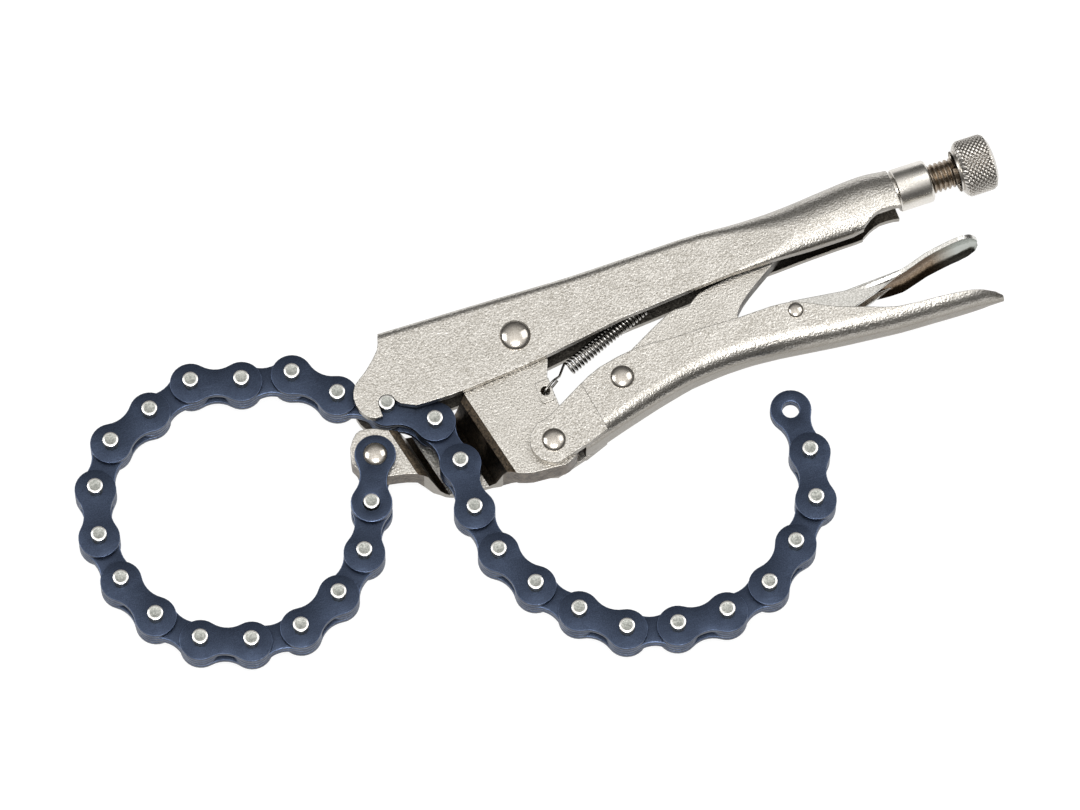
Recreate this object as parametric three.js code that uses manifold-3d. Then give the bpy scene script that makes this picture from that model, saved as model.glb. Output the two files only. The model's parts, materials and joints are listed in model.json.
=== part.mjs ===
import * as THREE from "three";
import { mergeVertices } from "three/addons/utils/BufferGeometryUtils.js";
import Module from "manifold-3d";

const wasm = await Module();
wasm.setup();

// Locking pliers with a chain. The tool lies on its side: X runs along the adjusting screw, Z is the axis of
// every rivet and chain pin, and the sizes below are measured from the main rivet. All lengths are millimetres.

// Clearances and facet counts
const seat = 0.15;
const runningGap = 0.3;
const overrun = 20;
const weldDistance = 0.0005;
const rodSides = 16;
const pinSides = 12;
const headSides = 20;
const domeSteps = 4;
const arcSteps = 4;
const endArcSteps = 8;
const waistSteps = 3;

// Chain
const pitch = 15.875;
const plateRadius = 6.5;
const plateWaist = 4.25;
const plateThickness = 2;
const plateGap = 0.15;
const pinRadius = 2.4;
const pinReach = 8;
const pinChamfer = 0.4;
const pinBoreClearance = 0.2;
const firstLinkGap = 0.45;

// Heading of the first link, then the bend at each later pin as the chain lies, in degrees
const chainBends = [
  -113, -4, -22, -17, -27, -18, -27, -18, -17, -21, -22, -32, -4, -35, 6, -34,
  13, -6, -41, -14, 12, 18, 12, 10, 26, 12, 18, 24, 8, 30, 15,
];
const hookedPin = 17;

// Places of the rivets
const anchorReach = 54;
const anchorDrop = 22.6;
const leverPivotDrop = 36.7;
const kneeReach = 27.1;
const kneeDrop = 23.9;
const releaseReach = 85.8;
const releaseDrop = 20.7;

// Upper handle
const sheet = 2.55;
const handleHalf = 7.5;
const handleCorner = 3.2;
const handleCrown = 13.6;
const handleSkirt = 12;
const noseReach = 54.5;
const flatLength = 72;
const handleRear = 129;
const rearHalf = 8.1;
const rearCrown = 17.3;
const rearFoot = 1.9;
const lipCurl = 3.2;
const lipRise = 5;
const lipRound = 0.3;
const crownFlat = 0.8;
const hookDepth = 6.5;

// Screw, collar and knob
const screwRise = 9.2;
const threadRadius = 4.7;
const threadDepth = 0.75;
const threadPitch = 1.5875;
const threadTurns = 23;
const threadSteps = 10;
const threadFront = 112.5;
const boreClearance = 0.15;
const spigotRadius = 5.3;
const spigotLength = 7;
const collarRadius = 6.7;
const collarLength = 12.3;
const collarRound = 1;
const knobFront = 150.3;
const knobLength = 13;
const knobRadius = 9.3;
const knobCollar = 6.6;
const knobSocket = 5;

// Jaw
const jawHalf = 4.65;
const jawSheet = 2.6;
const jawFrontHalf = 4;
const jawRear = 7.3;
const jawSkirt = 44.6;
const jawEndRadius = 8;
const neckDrop = 8.3;
const dishLean = 13;
const dishFront = 48.3;
const dishRear = 24.6;
const dishSlope = 4.6;
const bendRound = 1.3;

// Lower handle
const forkHalf = 7.5;
const forkRadius = 7.7;
const channelHalf = 7.1;
const lowerSheet = 2.3;
const channelCorner = 5;
const lowerLength = 150.3;
const webFront = 10;
const lowerCrest = 15.8;
const lowerBase = 29;

// Toggle link
const linkSeatReach = 92;
const linkSeatRise = 7.3;
const linkTipRadius = 4.6;
const linkKneeRadius = 6.3;
const linkHalf = 3.3;
const linkSlotHalf = 1.3;
const openPivotClearance = 2.3;

// Release lever
const releaseHalf = 4.3;
const releaseSheet = 1.3;
const releaseBoss = 4.4;
const padHalf = 6.3;
const padReach = 148.6;
const padRise = 9;

// Spring
const wireRadius = 0.4;
const coilRadius = 2.1;
const coilPitch = 1.3;
const coilCount = 24;
const coilSteps = 8;
const wireSides = 5;
const coilStartReach = 13;
const coilStartDrop = 13.4;
const coilSlope = 21.9;
const eyeReach = 3.1;
const eyeDrop = 19.8;
const eyeRadius = 1.55;
const tabRaise = 0.8;
const lugRadius = 1.2;

// Rivet heads
const mainHeadRadius = 4.95;
const mainShankRadius = 3;
const sideHeadRadius = 3.8;
const sideShankRadius = 2.5;
const smallHeadRadius = 2.5;
const smallShankRadius = 1.6;
const domeShare = 0.36;

// Finishes, from the photograph
const nickel = { color: 0xcfcac2, roughness: 0.42, metalness: 1 };
const polished = { color: 0xc9c4bc, roughness: 0.22, metalness: 1 };
const blued = { color: 0x1c2333, roughness: 0.45, metalness: 0.6 };
const pinSteel = { color: 0xa9a59b, roughness: 0.35, metalness: 1 };
const springSteel = { color: 0x9a9a9c, roughness: 0.3, metalness: 1 };

const toRadians = THREE.MathUtils.degToRad;
const quarterTurn = Math.PI / 2;

// A closed geometry as a solid, with its faces turned outward
function solidOf(geometry) {
  const bare = geometry.index ? geometry.toNonIndexed() : geometry.clone();
  bare.deleteAttribute("normal");
  bare.deleteAttribute("uv");
  const merged = mergeVertices(bare, weldDistance);
  const surface = {
    numProp: 3,
    vertProperties: merged.attributes.position.array,
    triVerts: new Uint32Array(merged.index.array),
  };
  const body = new wasm.Manifold(new wasm.Mesh(surface));
  if (body.volume() > 0) return body;
  surface.triVerts.reverse();
  return new wasm.Manifold(new wasm.Mesh(surface));
}

// A solid as a geometry
function geometryOf(body) {
  const surface = body.getMesh();
  const geometry = new THREE.BufferGeometry();
  geometry.setAttribute("position", new THREE.BufferAttribute(surface.vertProperties, 3));
  geometry.setIndex(new THREE.BufferAttribute(surface.triVerts, 1));
  geometry.computeVertexNormals();
  return geometry;
}

// A named mesh of a solid
function piece(name, body, finish) {
  const mesh = new THREE.Mesh(geometryOf(body), new THREE.MeshStandardMaterial(finish));
  mesh.name = name;
  return mesh;
}

// A flat outline between two levels of Z
function slab(shape, low, high) {
  const options = { depth: high - low, bevelEnabled: false, curveSegments: arcSteps };
  const geometry = new THREE.ExtrudeGeometry(shape, options);
  geometry.translate(0, 0, low);
  return solidOf(geometry);
}

// The same outline on the near side and the far side of the middle plane
function pairOfSlabs(shape, inner, outer) {
  return slab(shape, inner, outer).add(slab(shape, -outer, -inner));
}

// A round bar along Z
function bar(radius, low, high, place, sides = rodSides) {
  const geometry = new THREE.CylinderGeometry(radius, radius, high - low, sides);
  geometry.rotateX(quarterTurn);
  geometry.translate(place.x, place.y, (low + high) / 2);
  return solidOf(geometry);
}

// A hole along Z through everything, wide enough for a shank of this radius to turn in
function bore(shankRadius, clearance, place, sides = rodSides) {
  const radius = (shankRadius + clearance) / Math.cos(Math.PI / sides);
  return bar(radius, -overrun, overrun, place, sides);
}

// A profile turned round the X axis. Its points are [place along X, radius], from front to rear.
function turnedAlongX(profile, sides) {
  const points = profile.map(([along, radius]) => new THREE.Vector2(radius, along));
  const geometry = new THREE.LatheGeometry(points, sides);
  geometry.rotateZ(-quarterTurn);
  return solidOf(geometry);
}

// Points of an outline from shares of two sizes
function scaled(shares, across, up) {
  return shares.map(([xShare, yShare]) => new THREE.Vector2(xShare * across, yShare * up));
}

// Points of an outline from shares of the way between two ends, along X and along Y
function between(shares, front, rear, low, high) {
  return shares.map(([xShare, yShare]) => new THREE.Vector2(
    THREE.MathUtils.lerp(front, rear, xShare), THREE.MathUtils.lerp(low, high, yShare),
  ));
}

// A smooth run through points, with some steps between each two
function smooth(points, steps = arcSteps) {
  return new THREE.SplineCurve(points).getPoints((points.length - 1) * steps);
}

// Points on an arc round a centre, from one angle to another in degrees
function arc(centre, radius, from, to, steps) {
  const points = [];
  for (let step = 0; step <= steps; step++) {
    const angle = toRadians(THREE.MathUtils.lerp(from, to, step / steps));
    points.push(new THREE.Vector2(centre.x + radius * Math.cos(angle), centre.y + radius * Math.sin(angle)));
  }
  return points;
}

// A closed skin over rings of equal length, each a list of points, with a flat face on each end ring
function loft(rings, flatOf) {
  const count = rings[0].length;
  const positions = rings.flat().flatMap((point) => [point.x, point.y, point.z]);
  const faces = [];
  for (let ring = 0; ring < rings.length - 1; ring++) {
    for (let side = 0; side < count; side++) {
      const here = ring * count + side;
      const next = ring * count + ((side + 1) % count);
      faces.push(here, next, next + count, here, next + count, here + count);
    }
  }
  const last = (rings.length - 1) * count;
  THREE.ShapeUtils.triangulateShape(rings[0].map(flatOf), []).forEach(([a, b, c]) => faces.push(a, c, b));
  THREE.ShapeUtils.triangulateShape(rings.at(-1).map(flatOf), []).forEach(([a, b, c]) => {
    faces.push(last + a, last + b, last + c);
  });
  const geometry = new THREE.BufferGeometry();
  geometry.setAttribute("position", new THREE.Float32BufferAttribute(positions, 3));
  geometry.setIndex(faces);
  return solidOf(geometry);
}

// Half of an open channel's section as [Z, Y], from its foot to its crown, with a curled lip and a round corner
function halfSection(half, crown, corner, foot, curl, rise) {
  const points = [];
  for (let step = 0; step <= arcSteps; step++) {
    const angle = (quarterTurn * step) / arcSteps;
    points.push([half - curl + curl * Math.sin(angle), foot + rise - rise * Math.cos(angle)]);
  }
  for (let step = 0; step <= arcSteps; step++) {
    const angle = (quarterTurn * step) / arcSteps;
    points.push([half - corner + corner * Math.cos(angle), crown - corner + corner * Math.sin(angle)]);
  }
  return points;
}

// The whole ring of an open channel at a station along X. With flip at -1 the channel opens upward.
function channelRing({ x, half, wall, crown, corner, foot, curl, rise, flip }) {
  const outer = halfSection(half, crown, corner, foot, curl, rise);
  const innerCorner = Math.max(corner - wall, lipRound);
  const inner = halfSection(half - wall, crown - wall, innerCorner, foot, curl, rise);
  const mirrored = (points) => points.map(([z, y]) => [-z, y]).reverse();
  const ring = [...outer, ...mirrored(outer), ...mirrored(inner).reverse(), ...inner.reverse()];
  return ring.map(([z, y]) => new THREE.Vector3(x, flip * y, flip * z));
}

// A rivet along Z with a domed head on each side of the plates
function rivet(headRadius, shankRadius, half) {
  const dome = headRadius * domeShare;
  const profile = [new THREE.Vector2(0, -half - dome)];
  for (let step = 1; step <= domeSteps; step++) {
    const angle = (quarterTurn * step) / domeSteps;
    profile.push(new THREE.Vector2(headRadius * Math.sin(angle), -half - dome * Math.cos(angle)));
  }
  profile.push(new THREE.Vector2(shankRadius, -half));
  const upper = profile.map((point) => new THREE.Vector2(point.x, -point.y)).reverse();
  const geometry = new THREE.LatheGeometry([...profile, ...upper], headSides);
  geometry.rotateX(quarterTurn);
  return solidOf(geometry);
}

// Chain plates and links

// Outline of a chain plate: two round ends joined by a waist that is hollow on both sides
function plateOutline() {
  const middle = pitch / 2;
  const waistRadius =
    (middle ** 2 + plateWaist ** 2 - plateRadius ** 2) / (2 * (plateRadius - plateWaist));
  const turn = THREE.MathUtils.radToDeg(Math.atan2(plateWaist + waistRadius, middle));
  const first = new THREE.Vector2(0, 0);
  const second = new THREE.Vector2(pitch, 0);
  const below = new THREE.Vector2(middle, -plateWaist - waistRadius);
  const above = new THREE.Vector2(middle, plateWaist + waistRadius);
  return new THREE.Shape([
    ...arc(first, plateRadius, turn, 360 - turn, endArcSteps),
    ...arc(below, waistRadius, 180 - turn, turn, waistSteps).slice(1, -1),
    ...arc(second, plateRadius, turn - 180, 180 - turn, endArcSteps),
    ...arc(above, waistRadius, -turn, turn - 180, waistSteps).slice(1, -1),
  ]);
}

// A chain pin with chamfered ends
function chainPin(place) {
  const profile = [
    new THREE.Vector2(0, -pinReach),
    new THREE.Vector2(pinRadius - pinChamfer, -pinReach),
    new THREE.Vector2(pinRadius, -pinReach + pinChamfer),
    new THREE.Vector2(pinRadius, pinReach - pinChamfer),
    new THREE.Vector2(pinRadius - pinChamfer, pinReach),
    new THREE.Vector2(0, pinReach),
  ];
  const geometry = new THREE.LatheGeometry(profile, pinSides);
  geometry.rotateX(quarterTurn);
  geometry.translate(place.x, place.y, 0);
  return solidOf(geometry);
}

// Two plates, riveted on two long pins
function outerLink() {
  const inner = plateThickness + plateGap;
  return pairOfSlabs(plateOutline(), inner, inner + plateThickness)
    .add(chainPin(new THREE.Vector2(0, 0)))
    .add(chainPin(new THREE.Vector2(pitch, 0)));
}

// Two plates side by side, bored for the pins of the links before and after
function innerLink() {
  return slab(plateOutline(), -plateThickness, plateThickness)
    .subtract(bore(pinRadius, pinBoreClearance, new THREE.Vector2(0, 0), pinSides))
    .subtract(bore(pinRadius, pinBoreClearance, new THREE.Vector2(pitch, 0), pinSides));
}

// One plate of the wide first link, bored for the chain rivet and the first pin
function firstLinkPlate(side) {
  const inner = jawFrontHalf + firstLinkGap;
  const low = side > 0 ? inner : -inner - plateThickness;
  return slab(plateOutline(), low, low + plateThickness)
    .subtract(bore(sideShankRadius, pinBoreClearance, new THREE.Vector2(0, 0), pinSides))
    .subtract(bore(pinRadius, pinBoreClearance, new THREE.Vector2(pitch, 0), pinSides));
}

// The chain: each link's group hangs on the pin at the far end of the one before
function chain() {
  const start = new THREE.Group();
  start.position.set(-anchorReach, -anchorDrop, 0);
  start.rotation.z = toRadians(chainBends[0]);
  start.add(piece("first_link_near_plate", firstLinkPlate(1), blued));
  start.add(piece("first_link_far_plate", firstLinkPlate(-1), blued));
  const outer = outerLink();
  const inner = innerLink();
  let carrier = start;
  chainBends.slice(1).forEach((bend, index) => {
    const number = index + 1;
    const isOuter = number % 2 === 1;
    const name = (isOuter ? "outer_link_" : "inner_link_") + String(number).padStart(2, "0");
    const link = new THREE.Group();
    link.position.x = pitch;
    link.rotation.z = toRadians(bend);
    link.add(piece(name, isOuter ? outer : inner, blued));
    carrier.add(link);
    carrier = link;
  });
  return start;
}

// Where a pin of the chain lies, from the bends before it
function pinPlace(number) {
  const place = new THREE.Vector2(-anchorReach, -anchorDrop);
  let heading = 0;
  for (let link = 0; link < number; link++) {
    heading += toRadians(chainBends[link]);
    place.x += pitch * Math.cos(heading);
    place.y += pitch * Math.sin(heading);
  }
  return place;
}

// Upper handle

// Front of the nose, from the top corner down to its tip, in shares of the nose's reach and the crown
const noseShares = [
  [-0.752, 1.02], [-0.78, 0.7], [-0.88, 0.3], [-0.967, 0.05], [-1, -0.25],
  [-0.99, -0.56], [-0.957, -0.78], [-0.912, -0.87],
];
// Lower edge of the flat front part, in shares of its length and of the skirt
const skirtShares = [
  [-0.6, -0.97], [-0.51, -0.98], [-0.36, -1.01], [-0.26, -0.98], [-0.09, -0.9],
  [0.09, -0.79], [0.3, -0.61], [0.45, -0.47], [0.6, -0.39], [0.8, -0.29], [0.98, -0.22],
];
// Lower edge of the rear: a long lip, then a cut that bares the thread, in shares of the way from the flat
// part to the rear end and of the foot
const rearEdgeShares = [
  [0.24, -1.2], [0.705, -1.05], [0.77, -0.5], [0.82, 0.5], [0.887, 1.2], [0.966, 1.1], [1.04, 0.5],
];
// Along the rear: share of the length between the flat and the rear, and how far the sheet has rolled up
const rollShares = [
  [0, 0], [0.08, 0.03], [0.18, 0.14], [0.3, 0.36], [0.42, 0.6], [0.56, 0.8], [0.72, 0.93], [0.86, 1], [1, 1],
];

// Side view of the handle: what the sheet keeps after its edge is cut
function handleOutline() {
  const nose = smooth(scaled(noseShares, noseReach, handleCrown), 2);
  const skirt = smooth(scaled(skirtShares, flatLength, handleSkirt), 2);
  const rear = smooth(between(rearEdgeShares, flatLength, handleRear, 0, rearFoot), 2);
  const above = handleCrown + overrun;
  const points = [...nose, ...skirt, ...rear];
  points.push(new THREE.Vector2(handleRear + overrun, above), new THREE.Vector2(nose[0].x, above));
  return new THREE.Shape(points.reverse());
}

// The notch that holds a pin of the chain: round at the top and open below, with a sloping rear flank
function hookNotch(pin) {
  const radius = pinRadius + runningGap;
  const arch = arc(pin, radius, 180, 0, 2 * arcSteps);
  return new THREE.Shape([
    new THREE.Vector2(pin.x - radius, pin.y - hookDepth),
    ...arch,
    new THREE.Vector2(pin.x + radius * 1.5, pin.y - radius * 0.65),
    new THREE.Vector2(pin.x + radius * 3, pin.y - radius * 1.38),
    new THREE.Vector2(pin.x + radius * 3, pin.y - hookDepth),
  ].reverse());
}

// Rings of the folded sheet: a square-shouldered channel in front that rolls up into a tube at the rear
function handleRings() {
  const flat = {
    half: handleHalf, wall: sheet, crown: handleCrown, corner: handleCorner,
    foot: -handleSkirt - overrun, curl: lipRound, rise: lipRound, flip: 1,
  };
  const rings = [channelRing({ ...flat, x: -noseReach - seat })];
  rollShares.forEach(([alongShare, rollShare]) => {
    const half = THREE.MathUtils.lerp(handleHalf, rearHalf, rollShare);
    rings.push(channelRing({
      x: THREE.MathUtils.lerp(flatLength, handleRear, alongShare),
      half,
      wall: sheet,
      crown: THREE.MathUtils.lerp(handleCrown, rearCrown, rollShare),
      corner: THREE.MathUtils.lerp(handleCorner, half - crownFlat, rollShare),
      foot: rings.length === 1 ? flat.foot : -THREE.MathUtils.lerp(handleSkirt * 0.22, rearFoot, rollShare),
      curl: THREE.MathUtils.lerp(lipRound, lipCurl, rollShare),
      rise: THREE.MathUtils.lerp(lipRound, lipRise, rollShare),
      flip: 1,
    }));
  });
  return rings;
}

// The lug inside the handle that the rear hook of the spring catches on, and its place
function springLugPlace() {
  const end = coilEnd();
  return new THREE.Vector2(end.x + coilRadius * 3, end.y + coilRadius * 1.2);
}

function upperHandle() {
  const folded = loft(handleRings(), (point) => new THREE.Vector2(point.z, point.y));
  const lug = bar(lugRadius, -handleHalf + sheet / 2, handleHalf - sheet / 2, springLugPlace(), pinSides);
  return folded
    .intersect(slab(handleOutline(), -overrun, overrun))
    .subtract(slab(hookNotch(pinPlace(hookedPin)), -overrun, overrun))
    .subtract(bore(mainShankRadius, seat, new THREE.Vector2(0, 0)))
    .add(lug);
}

// Screw, collar and knob, all round one axis along X

function onScrewAxis(body) {
  return body.translate([0, screwRise, 0]);
}

function threadedCollar() {
  const inside = threadRadius + boreClearance;
  const rear = handleRear + collarLength;
  const profile = [
    [handleRear - spigotLength, inside],
    [handleRear - spigotLength, spigotRadius],
    [handleRear + seat, spigotRadius],
    [handleRear + seat, collarRadius],
    [rear - collarRound, collarRadius],
    [rear - collarRound * 0.3, collarRadius - collarRound * 0.3],
    [rear, collarRadius - collarRound],
    [rear, inside],
    [handleRear - spigotLength, inside],
  ];
  return onScrewAxis(turnedAlongX(profile, headSides));
}

// A screw thread as one skin: a helix of roots and a helix of crests, closed by a fan at each end
function threadSkin() {
  const rows = threadTurns * threadSteps;
  const rootRadius = threadRadius - threadDepth;
  const positions = [];
  const addPoint = (step, radius, shift) => {
    const angle = (2 * Math.PI * step) / threadSteps;
    const along = threadFront + (step / threadSteps) * threadPitch + shift;
    positions.push(along, radius * Math.cos(angle), radius * Math.sin(angle));
    return positions.length / 3 - 1;
  };
  const roots = Array.from({ length: rows + threadSteps + 1 }, (_, step) => addPoint(step, rootRadius, 0));
  const crests = Array.from({ length: rows + 1 }, (_, step) => addPoint(step, threadRadius, threadPitch / 2));
  const faces = [];
  const quad = (a, b, c, d) => faces.push(a, b, c, a, c, d);
  for (let step = 0; step < rows; step++) {
    quad(roots[step], roots[step + 1], crests[step + 1], crests[step]);
    quad(crests[step], crests[step + 1], roots[step + threadSteps + 1], roots[step + threadSteps]);
  }
  [0, rows].forEach((start) => {
    const hub = positions.length / 3;
    positions.push(threadFront + (start / threadSteps) * threadPitch + threadPitch / 2, 0, 0);
    const rim = roots.slice(start, start + threadSteps + 1).concat(crests[start]);
    rim.forEach((point, index) => {
      const next = rim[(index + 1) % rim.length];
      faces.push(...(start === 0 ? [hub, next, point] : [hub, point, next]));
    });
  });
  const geometry = new THREE.BufferGeometry();
  geometry.setAttribute("position", new THREE.Float32BufferAttribute(positions, 3));
  geometry.setIndex(faces);
  return solidOf(geometry);
}

function screwRod() {
  const tip = linkSeatReach + linkTipRadius + openPivotClearance;
  const plain = threadRadius - threadDepth / 2;
  const threadRear = threadFront + threadTurns * threadPitch;
  const nose = turnedAlongX([
    [tip, 0],
    [tip, plain - threadDepth],
    [tip + threadDepth, plain],
    [threadFront + threadPitch, plain],
    [threadFront + threadPitch, 0],
  ], rodSides);
  const tail = turnedAlongX([
    [threadRear - threadPitch, 0],
    [threadRear - threadPitch, plain],
    [knobFront + knobSocket, plain],
    [knobFront + knobSocket, 0],
  ], rodSides);
  return onScrewAxis(threadSkin().add(nose).add(tail));
}

// Profile of the knob in shares of its length and radius, from the small collar over the grip to the domed end
const knobShares = [
  [0.07, 0.71], [0.07, 0.78], [0.15, 0.93], [0.23, 1], [0.77, 1], [0.87, 0.93], [0.94, 0.74], [0.98, 0.45], [1, 0],
];

function screwKnob() {
  const socket = threadRadius - threadDepth / 2 + boreClearance;
  const profile = [
    [knobFront, socket],
    [knobFront, knobCollar],
    ...knobShares.map(([alongShare, radiusShare]) => [
      knobFront + knobLength * alongShare, knobRadius * radiusShare,
    ]),
    [knobFront + knobSocket + seat, 0],
    [knobFront + knobSocket + seat, socket],
    [knobFront, socket],
  ];
  return onScrewAxis(turnedAlongX(profile, headSides + 4));
}

// Jaw

// Side view of the jaw in shares of the chain rivet's reach and the skirt: the front end, the neck and the rear
const jawLowerShares = [
  [-1.1, -0.61], [-1.04, -0.655], [-0.96, -0.675], [-0.86, -0.7], [-0.77, -0.745], [-0.69, -0.815],
  [-0.63, -0.86], [-0.46, -0.877], [-0.33, -0.895], [-0.25, -0.955], [-0.17, -0.985],
];
const jawUpperShares = [
  [-0.27, -0.02], [-0.39, -0.27], [-0.46, -0.325], [-0.6, -0.34], [-0.83, -0.365],
  [-0.93, -0.315], [-1.0, -0.29], [-1.06, -0.3], [-1.12, -0.39], [-1.14, -0.5],
];

function jawOutline() {
  const lower = smooth(scaled(jawLowerShares, anchorReach, jawSkirt), 2);
  const upper = smooth(scaled(jawUpperShares, anchorReach, jawSkirt), 2);
  const pivot = new THREE.Vector2(0, 0);
  const end = new THREE.Vector2(0, -leverPivotDrop);
  return new THREE.Shape([
    ...lower,
    ...arc(end, jawEndRadius, -82, 10, endArcSteps),
    new THREE.Vector2(jawRear * 0.8, -eyeDrop - jawEndRadius * 0.9),
    new THREE.Vector2(jawRear * 0.72, -eyeDrop + jawEndRadius * 0.6),
    new THREE.Vector2(jawRear, -jawEndRadius * 1.25),
    ...arc(pivot, jawEndRadius, -20, 190, endArcSteps),
    ...upper,
  ]);
}

// The bent sheet seen along its bends, as [place across the bends, Z]: the near skin and the far skin
function dishProfile() {
  const front = -dishFront;
  const rear = -dishRear;
  const floor = -neckDrop;
  const frontNear = jawFrontHalf;
  const near = [
    [front - overrun, frontNear], [front - bendRound, frontNear], [front + bendRound, frontNear - bendRound],
    [front + dishSlope - bendRound * 0.6, floor + bendRound], [front + dishSlope + bendRound, floor],
    [rear - dishSlope - bendRound, floor], [rear - dishSlope + bendRound * 0.6, floor + bendRound],
    [rear - bendRound * 0.6, jawHalf - bendRound], [rear + bendRound, jawHalf], [overrun * 2, jawHalf],
  ];
  const slant = jawSheet * 0.9;
  const far = [
    [overrun * 2, -jawHalf], [rear + bendRound, -jawHalf], [rear - dishSlope + slant, floor - jawSheet],
    [front + dishSlope - slant, floor - jawSheet], [front - bendRound, -frontNear], [front - overrun, -frontNear],
  ];
  return new THREE.Shape([...near, ...far].map(([across, level]) => new THREE.Vector2(across, level)).reverse());
}

// A profile across the bends of the jaw, drawn out along them
function alongBends(shape) {
  const options = { depth: 2 * (jawSkirt + overrun), bevelEnabled: false, curveSegments: arcSteps };
  const geometry = new THREE.ExtrudeGeometry(shape, options);
  geometry.translate(0, 0, -jawSkirt - overrun);
  geometry.rotateX(quarterTurn);
  geometry.rotateZ(toRadians(dishLean));
  return solidOf(geometry);
}

// The hollow between the jaw's two side walls, which leaves a web along the lower edge
function jawHollow() {
  const half = jawHalf - jawSheet;
  const rearSlot = new THREE.Shape([
    new THREE.Vector2(-dishRear + jawSheet, -half),
    new THREE.Vector2(overrun * 2, -half),
    new THREE.Vector2(overrun * 2, half),
    new THREE.Vector2(-dishRear + jawSheet, half),
  ]);
  return alongBends(rearSlot).intersect(slab(jawOutline(), -overrun, overrun).translate([0, jawSheet, 0]));
}

// The raised pad on the jaw's near side that the spring hooks through
function springPad() {
  const left = eyeReach - 3 * eyeRadius / 2;
  const right = eyeReach + eyeRadius * 1.45;
  const top = -eyeDrop + eyeRadius * 2.4;
  const foot = -eyeDrop - eyeRadius * 2.4;
  return slab(new THREE.Shape([
    new THREE.Vector2(left + eyeRadius * 0.35, foot),
    new THREE.Vector2(right - eyeRadius * 0.5, foot),
    new THREE.Vector2(right, -eyeDrop - eyeRadius * 1.2),
    new THREE.Vector2(right, top),
    new THREE.Vector2(left, top - eyeRadius * 0.2),
    new THREE.Vector2(left, foot + eyeRadius * 0.6),
  ]), jawHalf - jawSheet / 2, jawHalf + tabRaise);
}

function lowerJaw() {
  const eye = new THREE.Vector2(eyeReach, -eyeDrop);
  const eyeHole = bar(eyeRadius, 0, overrun, eye, pinSides);
  return slab(jawOutline(), -overrun, overrun)
    .intersect(alongBends(dishProfile()))
    .subtract(jawHollow())
    .add(springPad())
    .subtract(eyeHole)
    .subtract(bore(mainShankRadius, runningGap / 2, new THREE.Vector2(0, 0)))
    .subtract(bore(sideShankRadius, runningGap / 2, new THREE.Vector2(0, -leverPivotDrop)))
    .subtract(bore(sideShankRadius, seat, new THREE.Vector2(-anchorReach, -anchorDrop)));
}

// Lower handle

// Upper edge from the fork to the tip in shares of the handle's length and of its crest's depth
const lowerTopShares = [
  [1, -2.234], [0.997, -2.165], [0.989, -2.082], [0.965, -1.975], [0.913, -1.861], [0.825, -1.785],
  [0.741, -1.709], [0.66, -1.437], [0.612, -1.215], [0.578, -1.063], [0.528, -1], [0.458, -1.025],
  [0.38, -1.044], [0.291, -1.051], [0.232, -1.019], [0.142, -1.171], [0.09, -1.399], [0.045, -1.633],
  [0.01, -1.81],
];
// Lower edge of the channel in shares of the handle's length and of its base
const lowerBaseShares = [
  [0.067, -1.421], [0.092, -1.366], [0.16, -1.248], [0.24, -1.134], [0.316, -1.055], [0.392, -1.01],
  [0.452, -1], [0.512, -1.01], [0.64, -1.069], [0.772, -1.11], [0.904, -1.141], [0.971, -1.172],
  [1, -1.193],
];
// Half width towards the tip in shares of the length and of the channel's half width
const lowerWidthShares = [
  [0.05, 1], [0.9, 1], [0.94, 0.97], [0.965, 0.86], [0.985, 0.66], [0.998, 0.36],
];

// A value read between the points of a table of shares
function readShare(table, at) {
  const next = table.findIndex(([share]) => share >= at);
  if (next === 0) return table[0][1];
  if (next < 0) return table.at(-1)[1];
  const [from, low] = table[next - 1];
  const [to, high] = table[next];
  return THREE.MathUtils.lerp(low, high, (at - from) / (to - from));
}

// Side view of the lower handle: its fork's round front, and everything below its upper edge
function lowerOutline() {
  const fork = new THREE.Vector2(0, -leverPivotDrop);
  const top = smooth(scaled(lowerTopShares, lowerLength, lowerCrest), 2);
  return new THREE.Shape([
    ...top,
    ...arc(fork, forkRadius, 100, 262, endArcSteps),
    new THREE.Vector2(webFront * 0.3, -leverPivotDrop - forkRadius * 0.86),
    new THREE.Vector2(webFront, -leverPivotDrop - forkRadius * 0.62),
    new THREE.Vector2(webFront, -jawSkirt - overrun),
    new THREE.Vector2(lowerLength + seat, -jawSkirt - overrun),
  ]);
}

// Rings of the channel, which opens upward and closes in at its tip
function lowerRings() {
  const stations = smooth(scaled(lowerBaseShares, lowerLength, lowerBase), 1);
  const shoulderShares = [0.06, 0.1, 0.16, 0.232, 0.31, 0.384, 0.45, 0.505, 0.57, 0.632, 0.7, 0.764, 0.83,
    0.896, 0.93, 0.955, 0.972, 0.986, 0.996];
  return shoulderShares.map((alongShare) => {
    const base = readShare(lowerBaseShares, alongShare) * lowerBase;
    const half = readShare(lowerWidthShares, alongShare) * channelHalf;
    const corner = Math.min(channelCorner, half - crownFlat / 2);
    return channelRing({
      x: alongShare * lowerLength,
      half,
      wall: lowerSheet,
      crown: -base,
      corner,
      foot: Math.min(lowerCrest * 0.5, -base),
      curl: lipRound,
      rise: lipRound,
      flip: -1,
    });
  });
}

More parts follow.
